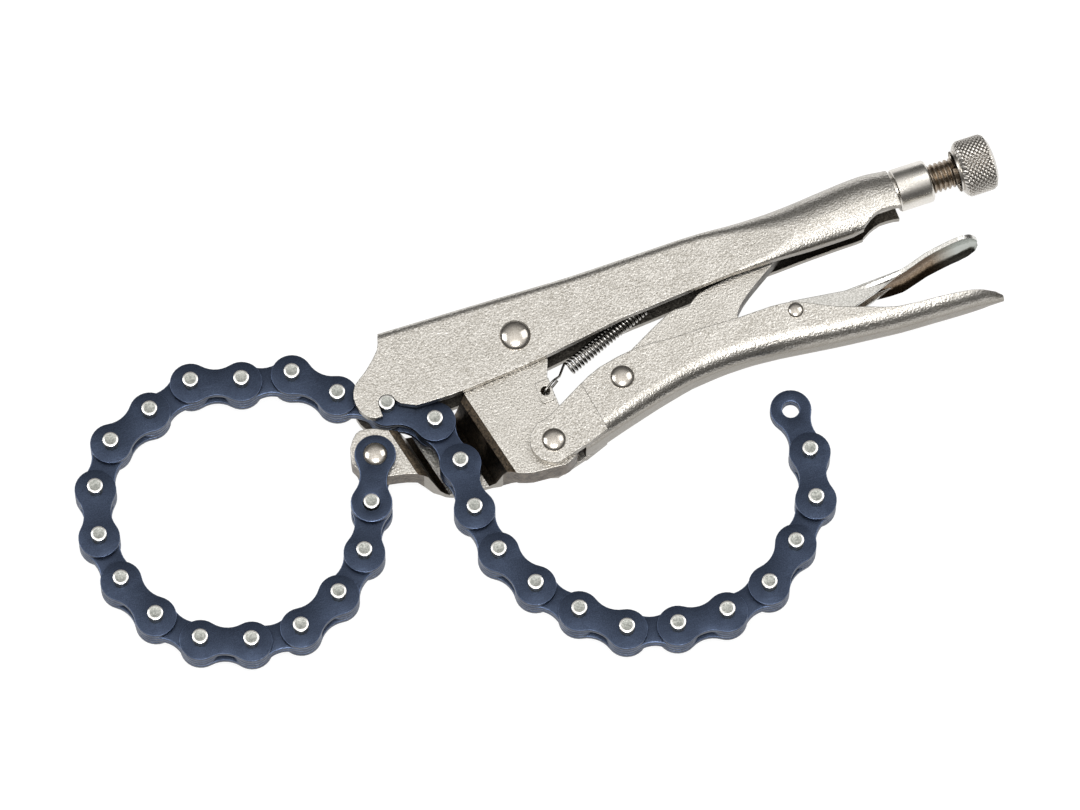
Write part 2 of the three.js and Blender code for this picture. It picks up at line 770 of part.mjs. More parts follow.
function lowerHandle() {
  const fork = new THREE.Vector2(0, -leverPivotDrop);
  const knee = new THREE.Vector2(kneeReach, -kneeDrop);
  const releasePin = new THREE.Vector2(releaseReach, -releaseDrop);
  const outline = slab(lowerOutline(), -overrun, overrun);
  const joggle = new THREE.Shape([
    ...arc(fork, forkRadius, 90, 262, endArcSteps),
    new THREE.Vector2(webFront * 0.3, -leverPivotDrop - forkRadius * 0.86),
    new THREE.Vector2(webFront * 1.1, -leverPivotDrop - forkRadius * 0.62),
    new THREE.Vector2(webFront * 1.9, -leverPivotDrop - forkRadius * 0.25),
    new THREE.Vector2(webFront * 1.2, 0),
    new THREE.Vector2(0, 0),
  ]);
  const channel = loft(lowerRings(), (point) => new THREE.Vector2(point.z, point.y));
  const cheeks = pairOfSlabs(joggle, jawHalf + runningGap, forkHalf);
  return channel.add(cheeks)
    .intersect(outline)
    .subtract(bore(sideShankRadius, seat, fork))
    .subtract(bore(sideShankRadius, seat, knee))
    .subtract(bore(smallShankRadius, seat, releasePin));
}

// Toggle link

// Edges of the link, in shares of the way from its knee to its tip
const linkFrontShares = [
  [0.695, 0.804], [0.674, 0.712], [0.575, 0.666], [0.511, 0.643], [0.468, 0.598], [0.433, 0.544],
  [0.383, 0.544], [0.329, 0.536], [0.107, 0.299], [-0.006, 0.169],
];
const linkRearShares = [
  [0.065, -0.17], [0.26, -0.061], [0.453, 0.051], [0.61, 0.138], [0.638, 0.282], [0.667, 0.369],
  [0.738, 0.49], [0.901, 0.705], [1.028, 0.865],
];

function toggleLink() {
  const knee = new THREE.Vector2(kneeReach, -kneeDrop);
  const tip = new THREE.Vector2(linkSeatReach, linkSeatRise);
  const outline = new THREE.Shape([
    ...smooth(between(linkRearShares, kneeReach, linkSeatReach, -kneeDrop, linkSeatRise), 2),
    ...arc(tip, linkTipRadius, -20, 150, endArcSteps),
    ...smooth(between(linkFrontShares, kneeReach, linkSeatReach, -kneeDrop, linkSeatRise), 2),
    ...arc(knee, linkKneeRadius, 105, 285, endArcSteps),
  ]);
  const inside = new THREE.Vector3(-sheet, jawSheet, 0);
  const slot = slab(outline, -linkSlotHalf, linkSlotHalf).translate(inside.toArray());
  return slab(outline, -linkHalf, linkHalf)
    .subtract(slot.subtract(bar(linkTipRadius * 2, -linkHalf, linkHalf, tip)))
    .subtract(bore(sideShankRadius, runningGap / 2, knee));
}

// Release lever

// Top line of the lever in shares of the pad's reach and of the release rivet's depth
const releaseTopShares = [
  [0.6, -0.87], [0.63, -0.89], [0.7, -0.87], [0.757, -0.84], [0.8, -0.79], [0.84, -0.7], [0.87, -0.62],
  [0.905, -0.56], [0.94, -0.54], [0.965, -0.55], [0.985, -0.58], [1, -0.63],
];
// Half width and how far each side droops below the top line, along the lever, as shares
const releaseWidthShares = [
  [0.6, 0.6], [0.7, 0.66], [0.76, 0.78], [0.82, 0.96], [0.9, 1], [0.95, 0.97], [0.975, 0.84], [0.99, 0.6], [1, 0.35],
];

// One ring of the lever's trough: a sheet that droops a little on its near side and more on its far side
function releaseRing(alongShare) {
  const top = readShare(releaseTopShares, alongShare) * releaseDrop;
  const half = readShare(releaseWidthShares, alongShare) * padHalf;
  const nearDroop = 0.15 * half;
  const farDroop = 0.55 * half;
  const outer = [[1, -nearDroop], [0.7, -nearDroop * 0.25], [0.3, 0], [-0.3, -farDroop * 0.06],
    [-0.7, -farDroop * 0.35], [-1, -farDroop]];
  const inner = outer.map(([across, drop]) => [across * (1 - releaseSheet / half / 3), drop - releaseSheet]);
  const ring = [...outer, ...inner.reverse()];
  return ring.map(([across, drop]) => new THREE.Vector3(alongShare * padReach, top + drop, across * half));
}

function releaseLever() {
  const pin = new THREE.Vector2(releaseReach, -releaseDrop);
  const stations = [0.6, 0.64, 0.68, 0.72, 0.757, 0.79, 0.82, 0.85, 0.88, 0.905, 0.93, 0.95, 0.965, 0.98, 0.99, 1];
  const trough = loft(stations.map(releaseRing), (point) => new THREE.Vector2(point.z, point.y));
  const flank = new THREE.Shape([
    ...arc(pin, releaseBoss, 90, 270, endArcSteps),
    new THREE.Vector2(releaseReach * 1.17, -releaseDrop * 1.24),
    new THREE.Vector2(releaseReach * 1.3, -releaseDrop * 1.08),
    new THREE.Vector2(releaseReach * 1.4, -releaseDrop * 0.93),
    new THREE.Vector2(releaseReach * 1.43, -releaseDrop * 0.84),
    new THREE.Vector2(releaseReach * 1.2, -releaseDrop * 0.9),
  ].reverse());
  return trough
    .add(pairOfSlabs(flank, releaseHalf - releaseSheet, releaseHalf))
    .subtract(bore(smallShankRadius, runningGap / 2, pin));
}

// Spring

function coilStart() {
  return new THREE.Vector2(coilStartReach, -coilStartDrop);
}

function coilEnd() {
  const length = coilCount * coilPitch;
  const slope = toRadians(coilSlope);
  return coilStart().add(new THREE.Vector2(length * Math.cos(slope), length * Math.sin(slope)));
}

// Centre line of the spring's wire: the front hook, the curls and the rear hook
function springLine() {
  const start = coilStart();
  const slope = toRadians(coilSlope);
  const points = frontHookPoints();
  for (let step = 0; step <= coilCount * coilSteps; step++) {
    const angle = (2 * Math.PI * step) / coilSteps;
    const along = (step / coilSteps) * coilPitch;
    const across = coilRadius * Math.cos(angle);
    points.push(new THREE.Vector3(
      start.x + along * Math.cos(slope) - across * Math.sin(slope),
      start.y + along * Math.sin(slope) + across * Math.cos(slope),
      coilRadius * Math.sin(angle),
    ));
  }
  return [...points, ...rearHookPoints()];
}

// The front hook comes over the raised pad, through its eye and out again behind the jaw's near wall
function frontHookPoints() {
  const above = jawHalf + tabRaise + wireRadius + runningGap;
  const behind = jawHalf - jawSheet - wireRadius - runningGap;
  const eye = new THREE.Vector2(eyeReach, -eyeDrop);
  const start = coilStart();
  const toward = start.clone().sub(eye).normalize();
  const at = (distance, level) => {
    const place = eye.clone().addScaledVector(toward, distance);
    return new THREE.Vector3(place.x, place.y, level);
  };
  return [
    at(eyeRadius * 4, behind), at(eyeRadius, behind), at(-eyeRadius * 0.2, behind + wireRadius),
    at(-eyeRadius * 0.45, jawHalf - jawSheet / 2), at(-eyeRadius * 0.2, above - wireRadius),
    at(eyeRadius, above), at(eyeRadius * 2.6, above), at(eyeRadius * 4.6, above / 2),
  ];
}

// The rear hook leaves the last curl and closes round the lug
function rearHookPoints() {
  const lug = springLugPlace();
  const reach = lugRadius + wireRadius + runningGap;
  return arc(lug, reach, 250, 20, 6).map((point) => new THREE.Vector3(point.x, point.y, 0));
}

// A wire along a centre line, as one skin of rings square to the line
function wire(line) {
  const rings = line.map((point, index) => {
    const before = line[Math.max(index - 1, 0)];
    const after = line[Math.min(index + 1, line.length - 1)];
    return { point, forward: after.clone().sub(before).normalize() };
  });
  let side = new THREE.Vector3(0, 0, 1).cross(rings[0].forward).normalize();
  return loft(rings.map(({ point, forward }) => {
    side = side.clone().addScaledVector(forward, -side.dot(forward)).normalize();
    const up = forward.clone().cross(side);
    return Array.from({ length: wireSides }, (_, index) => {
      const angle = (2 * Math.PI * index) / wireSides;
      return point.clone()
        .addScaledVector(side, wireRadius * Math.cos(angle))
        .addScaledVector(up, wireRadius * Math.sin(angle));
    });
  }), (_, index) => {
    const angle = (2 * Math.PI * index) / wireSides;
    return new THREE.Vector2(Math.cos(angle), Math.sin(angle));
  });
}

// Least gap between curls that aren't neighbours along the wire, measured on points of the centre line
function leastGap(line) {
  let least = Infinity;
  line.forEach((point, index) => {
    line.slice(index + coilSteps / 2).forEach((other) => {
      least = Math.min(least, point.distanceTo(other) - 2 * wireRadius);
    });
  });
  return least;
}

function jawSpring() {
  const line = springLine();
  console.log("least gap between the curls of the spring: " + leastGap(line).toFixed(2) + " mm");
  return wire(line);
}

// Assembly

function rivetAt(name, headRadius, shankRadius, half, x, y) {
  const mesh = piece(name, rivet(headRadius, shankRadius, half + seat), polished);
  mesh.position.set(x, y, 0);
  return mesh;
}

function handleGroup() {
  const group = new THREE.Group();
  group.add(piece("upper_handle", upperHandle(), nickel));
  group.add(piece("threaded_collar", threadedCollar(), nickel));
  group.add(rivetAt("jaw_rivet", mainHeadRadius, mainShankRadius, handleHalf, 0, 0));
  group.add(piece("jaw_spring", jawSpring(), springSteel));
  group.add(piece("screw_rod", screwRod(), nickel));
  group.add(piece("screw_knob", screwKnob(), nickel));
  return group;
}

function jawGroup() {
  const group = new THREE.Group();
  const chainHalf = jawFrontHalf + firstLinkGap + plateThickness;
  group.add(piece("lower_jaw", lowerJaw(), nickel));
  group.add(rivetAt("chain_rivet", sideHeadRadius, sideShankRadius, chainHalf, -anchorReach, -anchorDrop));
  group.add(chain());
  return group;
}

function leverGroup() {
  const group = new THREE.Group();
  group.add(piece("lower_handle", lowerHandle(), nickel));
  group.add(rivetAt("lever_pivot_rivet", sideHeadRadius, sideShankRadius, forkHalf, 0, -leverPivotDrop));
  group.add(rivetAt("link_pivot_rivet", sideHeadRadius, sideShankRadius, channelHalf, kneeReach, -kneeDrop));
  group.add(rivetAt("release_rivet", smallHeadRadius, smallShankRadius, channelHalf, releaseReach, -releaseDrop));
  group.add(piece("toggle_link", toggleLink(), nickel));
  group.add(piece("release_lever", releaseLever(), nickel));
  return group;
}

// The whole clamp, with its origin under the middle of what it covers
function chainClamp() {
  const tool = new THREE.Group();
  tool.add(handleGroup(), jawGroup(), leverGroup());
  const bounds = new THREE.Box3().setFromObject(tool, true);
  const centre = bounds.getCenter(new THREE.Vector3());
  tool.position.set(-centre.x, -centre.y, -bounds.min.z);
  return new THREE.Group().add(tool);
}

export default chainClamp();
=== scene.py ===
"""Looks of the chain clamp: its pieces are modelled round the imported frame, dressed, lit and seen as in the photo."""

import json
import logging
import math
from collections.abc import Sequence
from dataclasses import dataclass
from enum import Enum

import bmesh
import bpy
from mathutils import Matrix, Vector

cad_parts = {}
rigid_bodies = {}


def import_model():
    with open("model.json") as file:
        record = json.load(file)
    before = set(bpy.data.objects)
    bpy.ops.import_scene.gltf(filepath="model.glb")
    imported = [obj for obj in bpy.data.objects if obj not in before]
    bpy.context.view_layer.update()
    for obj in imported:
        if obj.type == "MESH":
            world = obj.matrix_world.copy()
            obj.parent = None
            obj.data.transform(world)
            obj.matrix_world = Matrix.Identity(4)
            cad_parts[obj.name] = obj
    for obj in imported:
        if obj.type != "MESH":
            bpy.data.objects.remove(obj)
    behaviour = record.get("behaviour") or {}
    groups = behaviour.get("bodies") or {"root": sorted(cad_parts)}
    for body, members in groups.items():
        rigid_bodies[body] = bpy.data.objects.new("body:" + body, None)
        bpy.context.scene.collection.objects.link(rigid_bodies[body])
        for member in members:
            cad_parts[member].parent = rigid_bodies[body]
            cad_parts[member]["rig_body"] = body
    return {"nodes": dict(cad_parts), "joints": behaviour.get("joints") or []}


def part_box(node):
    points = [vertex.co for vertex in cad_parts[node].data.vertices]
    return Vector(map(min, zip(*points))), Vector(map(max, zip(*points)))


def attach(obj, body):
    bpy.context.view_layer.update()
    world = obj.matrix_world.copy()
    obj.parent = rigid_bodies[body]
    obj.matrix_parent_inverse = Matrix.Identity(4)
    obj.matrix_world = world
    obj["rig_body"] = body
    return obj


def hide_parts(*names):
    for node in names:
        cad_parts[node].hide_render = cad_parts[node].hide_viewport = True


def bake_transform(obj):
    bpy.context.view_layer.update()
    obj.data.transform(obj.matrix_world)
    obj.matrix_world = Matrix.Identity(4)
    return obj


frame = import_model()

log = logging.getLogger("chain_clamp")

MM = 0.001
UP = Vector((0, 0, 1))
RIVET_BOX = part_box("jaw_rivet")
ORIGIN = (RIVET_BOX[0] + RIVET_BOX[1]) / 2
PLACE = Matrix.Translation(ORIGIN) @ Matrix.Scale(MM, 4)
Socket = bpy.types.NodeSocket
Colour = tuple[float, float, float]
Pair = tuple[float, float]
Table = Sequence[Pair]

# Pins that more than one part shares, in millimetres from the main rivet, which is the tool's own origin.
FORK_PIN = (0, -36.7)
KNEE_PIN = (27.1, -23.9)
RELEASE_PIN = (85.8, -20.7)

# Half length of a cut that goes right through, and how near two points are merged, in millimetres.
THROUGH = 30
WELD = 1e-3
FINE_WELD = 1e-4

# Angle from which an edge of a pressed piece stays sharp.
SHEET_DEGREES = 34

# How grain, specks, smudges and scratches are spread over every metal.
FINE_SHARE = 0.65
SPECKS_TO_GRAIN = 1.4
SPECK_RANGE = (0.32, 0.68)
SMUDGE_RANGE = (0.35, 0.65)
GRAIN_SHARE = 0.75
SCRATCH_TILT = (0.2, 0.3)
SCRATCH_RUNS = ((0.6, 0.07), (-1.1, 0.06))
SCRATCH_RANGE = (0.66, 0.72)
# Upright part of the normal over which the painted shade on sideways faces fades out.
FLANK_SHADE_RANGE = (0.15, 0.93)
EDGE_SAMPLES = 6


class Slot(Enum):
    """Material slots of the record."""

    NICKEL = "satin_nickel"
    POLISHED = "polished_steel"
    BLUED = "blued_steel"
    SPRING = "spring_steel"


class Graph:
    """Short calls that add and join the nodes of one tree."""

    def __init__(self, tree: bpy.types.NodeTree) -> None:
        """Keeps the tree.

        Args:
            tree: The node tree to build in.
        """
        self.tree = tree

    def add(self, kind: str, **settings: object) -> bpy.types.Node:
        """Adds a node.

        Args:
            kind: Name of the node's type.
            settings: Attributes to set, or inputs where the node has no such attribute.

        Returns:
            The new node.
        """
        node = self.tree.nodes.new(kind)
        for key, value in settings.items():
            if hasattr(node, key):
                setattr(node, key, value)
            else:
                node.inputs[key].default_value = value
        return node

    def join(self, source: Socket, target: Socket) -> None:
        """Links an output to an input."""
        self.tree.links.new(source, target)

    def math(self, operation: str, first: Socket | float, second: Socket | float = 0.0) -> Socket:
        """Adds a Math node.

        Args:
            operation: Its operation.
            first: First value or socket.
            second: Second value or socket.

        Returns:
            Its output.
        """
        node = self.tree.nodes.new("ShaderNodeMath")
        node.operation = operation
        for value, target in zip((first, second), node.inputs):
            if isinstance(value, (int, float)):
                target.default_value = value
            else:
                self.join(value, target)
        return node.outputs[0]

    def remap(self, value: Socket, low: float, high: float, to_low: float, to_high: float) -> Socket:
        """Adds a clamped Map Range node.

        Args:
            value: The value to read.
            low: Where the range starts.
            high: Where it ends.
            to_low: What the start becomes.
            to_high: What the end becomes.

        Returns:
            Its output.
        """
        node = self.tree.nodes.new("ShaderNodeMapRange")
        self.join(value, node.inputs[0])
        for target, number in zip(list(node.inputs)[1:5], (low, high, to_low, to_high)):
            target.default_value = number
        return node.outputs[0]

    def mix(self, factor: Socket, first: Socket | Colour, second: Socket | Colour) -> Socket:
        """Mixes two colours by a factor.

        Args:
            factor: Share of the second colour.
            first: Colour at nought, or its socket.
            second: Colour at one, or its socket.

        Returns:
            The mixed colour.
        """
        node = self.tree.nodes.new("ShaderNodeMix")
        node.data_type = "RGBA"
        self.join(factor, node.inputs[0])
        for value, target in zip((first, second), (node.inputs[6], node.inputs[7])):
            if isinstance(value, tuple):
                target.default_value = (*value, 1)
            else:
                self.join(value, target)
        return node.outputs[2]

    def noise(self, place: Socket, scale: Socket, detail: float, roughness: float = 0.5) -> Socket:
        """Adds a noise texture.

        Args:
            place: Where it is read.
            scale: Cells in a metre.
            detail: Octaves.
            roughness: How strong the fine octaves are.

        Returns:
            Its value.
        """
        node = self.add("ShaderNodeTexNoise", Detail=detail, Roughness=roughness)
        self.join(place, node.inputs["Vector"])
        self.join(scale, node.inputs["Scale"])
        return node.outputs[0]

    def part(self, vector: Socket, axis: str) -> Socket:
        """Splits a vector.

        Args:
            vector: The vector.
            axis: X, Y or Z.

        Returns:
            Its part along that axis.
        """
        node = self.tree.nodes.new("ShaderNodeSeparateXYZ")
        self.join(vector, node.inputs[0])
        return node.outputs[axis]

    def mix_shaders(self, factor: Socket, first: bpy.types.Node, second: bpy.types.Node, output: str) -> None:
        """Mixes two shaders into the tree's output.

        Args:
            factor: Share of the second shader.
            first: Node of the first one.
            second: Node of the second one.
            output: Type of the output node.
        """
        mix = self.add("ShaderNodeMixShader")
        for source, target in zip((factor, first.outputs[0], second.outputs[0]), mix.inputs):
            self.join(source, target)
        self.join(mix.outputs[0], self.add(output).inputs["Surface"])


def new_group(name: str, inputs: dict[str, float], outputs: list[str]) -> tuple[bpy.types.NodeTree, Graph]:
    """Starts a shader node group whose sockets are all numbers.

    Args:
        name: Its name.
        inputs: Each input and its usual value.
        outputs: The outputs.

    Returns:
        The group and its graph.
    """
    tree = bpy.data.node_groups.new(name, "ShaderNodeTree")
    for label, value in inputs.items():
        socket = tree.interface.new_socket(label, in_out="INPUT", socket_type="NodeSocketFloat")
        socket.default_value = value
    for label in outputs:
        tree.interface.new_socket(label, in_out="OUTPUT", socket_type="NodeSocketFloat")
    return tree, Graph(tree)


def grain_group() -> bpy.types.NodeTree:
    """Builds the fine pebbled grain of a plated or blued surface.

    Returns:
        A group with a height, a fine shade and a wide smudge, each about a half in the middle.
    """
    tree, graph = new_group("surface_grain", {"Grain": 0.6, "Smear": 9.0}, ["Height", "Shade", "Smudge"])
    given = graph.add("NodeGroupInput")
    place = graph.add("ShaderNodeTexCoord").outputs["Object"]
    per_metre = graph.math("DIVIDE", 1 / MM, given.outputs["Grain"])
    fine = graph.noise(place, per_metre, 2.0, 0.55)
    pebble = graph.add("ShaderNodeTexVoronoi", feature="SMOOTH_F1")
    graph.join(place, pebble.inputs["Vector"])
    graph.join(per_metre, pebble.inputs["Scale"])
    height = graph.math(
        "ADD", graph.math("MULTIPLY", fine, FINE_SHARE), graph.math("MULTIPLY", pebble.outputs[0], 1 - FINE_SHARE)
    )
    speck = graph.noise(place, graph.math("MULTIPLY", per_metre, SPECKS_TO_GRAIN), 1.0)
    wide = graph.noise(place, graph.math("DIVIDE", 1 / MM, given.outputs["Smear"]), 3.0, 0.6)
    result = graph.add("NodeGroupOutput")
    graph.join(height, result.inputs["Height"])
    graph.join(graph.remap(speck, *SPECK_RANGE, 0, 1), result.inputs["Shade"])
    graph.join(graph.remap(wide, *SMUDGE_RANGE, 0, 1), result.inputs["Smudge"])
    return tree


def scratch_group() -> bpy.types.NodeTree:
    """Builds thin faint scratches that run in two directions.

    Returns:
        A group with one mask.
    """
    tree, graph = new_group("fine_scratches", {"Length": 7.0}, ["Mask"])
    given = graph.add("NodeGroupInput")
    place = graph.add("ShaderNodeTexCoord").outputs["Object"]
    per_metre = graph.math("DIVIDE", 1 / MM, given.outputs["Length"])
    masks = []
    for turn, thin in SCRATCH_RUNS:
        mapping = graph.add("ShaderNodeMapping")
        mapping.inputs["Rotation"].default_value = (*SCRATCH_TILT, turn)
        mapping.inputs["Scale"].default_value = (1, 1 / thin, 1)
        graph.join(place, mapping.inputs["Vector"])
        masks.append(graph.remap(graph.noise(mapping.outputs[0], per_metre, 1.0), *SCRATCH_RANGE, 0, 1))
    result = graph.add("NodeGroupOutput")
    graph.join(graph.math("MAXIMUM", *masks), result.inputs["Mask"])
    return tree


GRAIN = grain_group()
SCRATCH = scratch_group()


@dataclass(frozen=True)
class MetalFinish:
    """A bare or plated metal: its colours, gloss, grain and wear, and its painted shade and painted light.

    The grain, its relief, the smear of the gloss, the radius of the edges and the fade, which runs along the tool from
    the main rivet, are in millimetres. The flank's colour is painted shade on what faces sideways, and the far one is
    painted light past the fade.
    """

    name: str
    colour: Colour
    dark: Colour
    roughness: float
    dull: float
    grain: float
    relief: float
    strength: float
    smear: float = 9.0
    scratch: float = 0.3
    edge_radius: float = 0.0
    metallic: float = 1.0
    # Share of painted shade, standing in for dark reflections, on faces that turn sideways.
    flank: float = 0.0
    flank_shade_colour: Colour = (0.20, 0.18, 0.15)
    blotch: float = 0.14
    far_light_colour: Colour | None = None
    fade: Pair = (0.0, 1.0)

    def tone(self, graph: Graph, grain: bpy.types.Node) -> Socket:
        """Mixes the colours by the grain and the wear, paints shade on the side that the surface faces and paints light
        past the fade.

        Args:
            graph: The material's graph.
            grain: Its grain.

        Returns:
            The base colour.
        """
        marks = graph.add("ShaderNodeGroup", node_tree=SCRATCH)
        shade = graph.math("MULTIPLY", grain.outputs["Shade"], GRAIN_SHARE)
        shade = graph.math("ADD", shade, graph.math("MULTIPLY", grain.outputs["Smudge"], self.blotch))
        shade = graph.math("ADD", shade, graph.math("MULTIPLY", marks.outputs["Mask"], self.scratch))
        tone = graph.mix(shade, self.dark, self.colour)
        # Painted shade: faces that turn sideways darken toward the flank's shade colour.
        if self.flank:
            facing = graph.part(graph.add("ShaderNodeTexCoord").outputs["Normal"], "Z")
            flank_shade = graph.remap(graph.math("ABSOLUTE", facing), *FLANK_SHADE_RANGE, self.flank, 0)
            tone = graph.mix(flank_shade, tone, self.flank_shade_colour)
        # Painted light: past the fade the colour turns to the paler far colour.
        if self.far_light_colour:
            along = graph.part(graph.add("ShaderNodeTexCoord").outputs["Object"], "X")
            near, far = (ORIGIN.x + place * MM for place in self.fade)
            tone = graph.mix(graph.remap(along, near, far, 0, 1), tone, self.far_light_colour)
        return tone

    def make(self) -> bpy.types.Material:
        """Builds the material.

        Returns:
            The material, ready for a slot.
        """
        material = bpy.data.materials.new(self.name)
        material.use_nodes = True
        material.diffuse_color = (*self.colour, 1)
        graph = Graph(material.node_tree)
        shader = material.node_tree.nodes["Principled BSDF"]
        shader.inputs["Metallic"].default_value = self.metallic
        grain = graph.add("ShaderNodeGroup", node_tree=GRAIN)
        grain.inputs["Grain"].default_value = self.grain
        grain.inputs["Smear"].default_value = self.smear
        graph.join(self.tone(graph, grain), shader.inputs["Base Color"])
        gloss = graph.remap(grain.outputs["Smudge"], 0, 1, self.dull, self.roughness)
        graph.join(gloss, shader.inputs["Roughness"])
        bump = graph.add("ShaderNodeBump", Strength=self.strength, Distance=self.relief * MM)
        graph.join(grain.outputs["Height"], bump.inputs["Height"])
        if self.edge_radius:
            edge = graph.add("ShaderNodeBevel", samples=EDGE_SAMPLES, Radius=self.edge_radius * MM)
            graph.join(edge.outputs[0], bump.inputs["Normal"])
        graph.join(bump.outputs[0], shader.inputs["Normal"])
        return material


# Its flank paints shade on the sideways faces of the handles and the tube.
NICKEL = MetalFinish(
    "satin_nickel_plate", (0.90, 0.875, 0.83), (0.42, 0.395, 0.35),
    roughness=0.28, dull=0.31, grain=0.62, relief=0.20, strength=0.9, edge_radius=0.4, flank=0.88,
)
# Painted shade on the inner faces of the channels.
INSIDE_PAINTED_SHADE = MetalFinish(
    "shaded_inside", (0.17, 0.155, 0.135), (0.05, 0.046, 0.04),
    roughness=0.42, dull=0.55, grain=0.8, relief=0.15, strength=0.8, smear=4.0,
)
LEVER = MetalFinish(
    "bright_lever_nickel", (0.86, 0.85, 0.82), (0.50, 0.49, 0.46),
    roughness=0.17, dull=0.26, grain=0.7, relief=0.05, strength=0.5, edge_radius=0.3,
)
# Painted shade on the lever's underside, brown in the shade and turning to a paler painted light near the pad.
LEVER_INSIDE_PAINTED_SHADE = MetalFinish(
    "lever_inside_painted_shade", (0.36, 0.27, 0.19), (0.12, 0.085, 0.055),
    roughness=0.16, dull=0.24, grain=0.7, relief=0.04, strength=0.5, smear=7.0, far_light_colour=(0.46, 0.48, 0.45),
    fade=(133.0, 142.0),
)
# Painted shade on the jaw's bends and inner faces.
BEND_PAINTED_SHADE = MetalFinish(
    "bend_painted_shade", (0.13, 0.10, 0.07), (0.03, 0.027, 0.024),
    roughness=0.30, dull=0.42, grain=0.9, relief=0.12, strength=0.8, smear=3.0, blotch=0.4,
)
# Painted shade in the grooves of the knurl.
KNURL_GROOVE_PAINTED_SHADE = MetalFinish(
    "knurl_groove_painted_shade", (0.20, 0.17, 0.14), (0.09, 0.075, 0.06),
    roughness=0.34, dull=0.44, grain=0.5, relief=0.02, strength=0.4, smear=3.0,
)
NICKEL_TURNED = MetalFinish(
    "turned_nickel", (0.84, 0.81, 0.76), (0.68, 0.65, 0.60),
    roughness=0.24, dull=0.32, grain=0.5, relief=0.05, strength=0.5,
)
POLISHED = MetalFinish(
    "polished_rivet_steel", (0.74, 0.70, 0.64), (0.50, 0.46, 0.41),
    roughness=0.14, dull=0.24, grain=0.5, relief=0.03, strength=0.4, smear=3.0,
)
BLUED = MetalFinish(
    "blued_chain_steel", (0.052, 0.070, 0.112), (0.026, 0.035, 0.058),
    roughness=0.36, dull=0.48, grain=0.45, relief=0.04, strength=0.6, smear=5.0, metallic=0.9,
)
# Painted highlight on the bevelled rims of the chain plates.
BLUED_RIM_PAINTED_HIGHLIGHT = MetalFinish(
    "blued_rim_painted_highlight", (0.13, 0.17, 0.27), (0.05, 0.07, 0.12),
    roughness=0.32, dull=0.44, grain=0.5, relief=0.02, strength=0.4, smear=2.5, metallic=0.95,
)
PIN_END = MetalFinish(
    "pin_end_steel", (0.58, 0.59, 0.55), (0.26, 0.27, 0.25),
    roughness=0.34, dull=0.46, grain=0.7, relief=0.06, strength=0.7, smear=1.4,
)
# Painted highlight on the chamfered rims of the pin ends.
PIN_RIM_PAINTED_HIGHLIGHT = MetalFinish(
    "pin_rim_painted_highlight", (0.95, 0.94, 0.91), (0.80, 0.79, 0.76),
    roughness=0.24, dull=0.32, grain=0.5, relief=0.02, strength=0.3, smear=1.4,
)
WIRE = MetalFinish(
    "spring_wire", (0.62, 0.60, 0.57), (0.30, 0.29, 0.27),
    roughness=0.18, dull=0.28, grain=0.4, relief=0.01, strength=0.3, smear=2.0,
)
KNURLED = MetalFinish(
    "knurled_steel", (0.80, 0.77, 0.72), (0.48, 0.45, 0.41),
    roughness=0.22, dull=0.32, grain=0.5, relief=0.02, strength=0.4, smear=3.0,
)
THREAD = MetalFinish(
    "thread_steel", (0.52, 0.44, 0.35), (0.20, 0.16, 0.12),
    roughness=0.24, dull=0.34, grain=0.5, relief=0.02, strength=0.4, smear=2.0,
)


class Shop:
    """Makes each finish once."""

    def __init__(self) -> None:
        """Starts with no material."""
        self.made: dict[str, bpy.types.Material] = {}

    def get(self, finish: MetalFinish) -> bpy.types.Material:
        """Returns the finish's one material."""
        if finish.name not in self.made:
            self.made[finish.name] = finish.make()
        return self.made[finish.name]


SHOP = Shop()


def sharpen(bm: bmesh.types.BMesh, degrees: float) -> None:
    """Shades the mesh smooth and marks its corners sharp.

    Args:
        bm: The mesh.
        degrees: Angle from which an edge is a corner.
    """
    limit = math.radians(degrees)
    for face in bm.faces:
        face.smooth = True
    for edge in bm.edges:
        edge.smooth = len(edge.link_faces) == 2 and edge.calc_face_angle(0) < limit


def finished(
    bm: bmesh.types.BMesh,
    name: str,
    finishes: list[MetalFinish],
    nodes: list[str],
    place: Matrix | None,
    degrees: float,
    rides: bool = True,
) -> bpy.types.Object:
    """Makes an object of a mesh, dresses it and lets it stand for CAD nodes.

    Args:
        bm: The mesh, which is freed.
        name: Name of the piece.
        finishes: Finishes of its material slots.
        nodes: The CAD nodes that it stands for.
        place: Where it goes, or nothing for a mesh that is in place already.
        degrees: Angle from which an edge stays sharp.
        rides: Whether it rides on the body of its first node.

    Returns:
        The object.
    """
    if place is not None:
        bm.transform(place)
    sharpen(bm, degrees)
    mesh = bpy.data.meshes.new(name)
    bm.to_mesh(mesh)
    bm.free()
    for finish in finishes:
        mesh.materials.append(SHOP.get(finish))
    piece = bpy.data.objects.new(name, mesh)
    bpy.context.scene.collection.objects.link(piece)
    if rides:
        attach(piece, frame["nodes"][nodes[0]]["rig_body"])
    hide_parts(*nodes)
    log.info("%s: %d faces for %s", name, len(mesh.polygons), ", ".join(nodes))
    return piece


def weigh_normals(piece: bpy.types.Object, weight: int = 50) -> None:
    """Evens the shading of a pressed piece, but not over its corners.

    Args:
        piece: The piece.
        weight: How much more its larger faces count, from 1 to 100.
    """
    weigh = piece.modifiers.new("weighed_normals", "WEIGHTED_NORMAL")
    weigh.keep_sharp = True
    weigh.weight = weight


def dress_sheet(bm: bmesh.types.BMesh, name: str, node: str, finishes: list[MetalFinish]) -> None:
    """Dresses a lofted sheet part and evens its shading.

    Args:
        bm: Its mesh in millimetres.
        name: Name of the piece.
        node: The CAD node that it stands for.
        finishes: Finishes of its outside and of its inside, which is painted shade.
    """
    weigh_normals(finished(bm, name, finishes, [node], PLACE, SHEET_DEGREES))


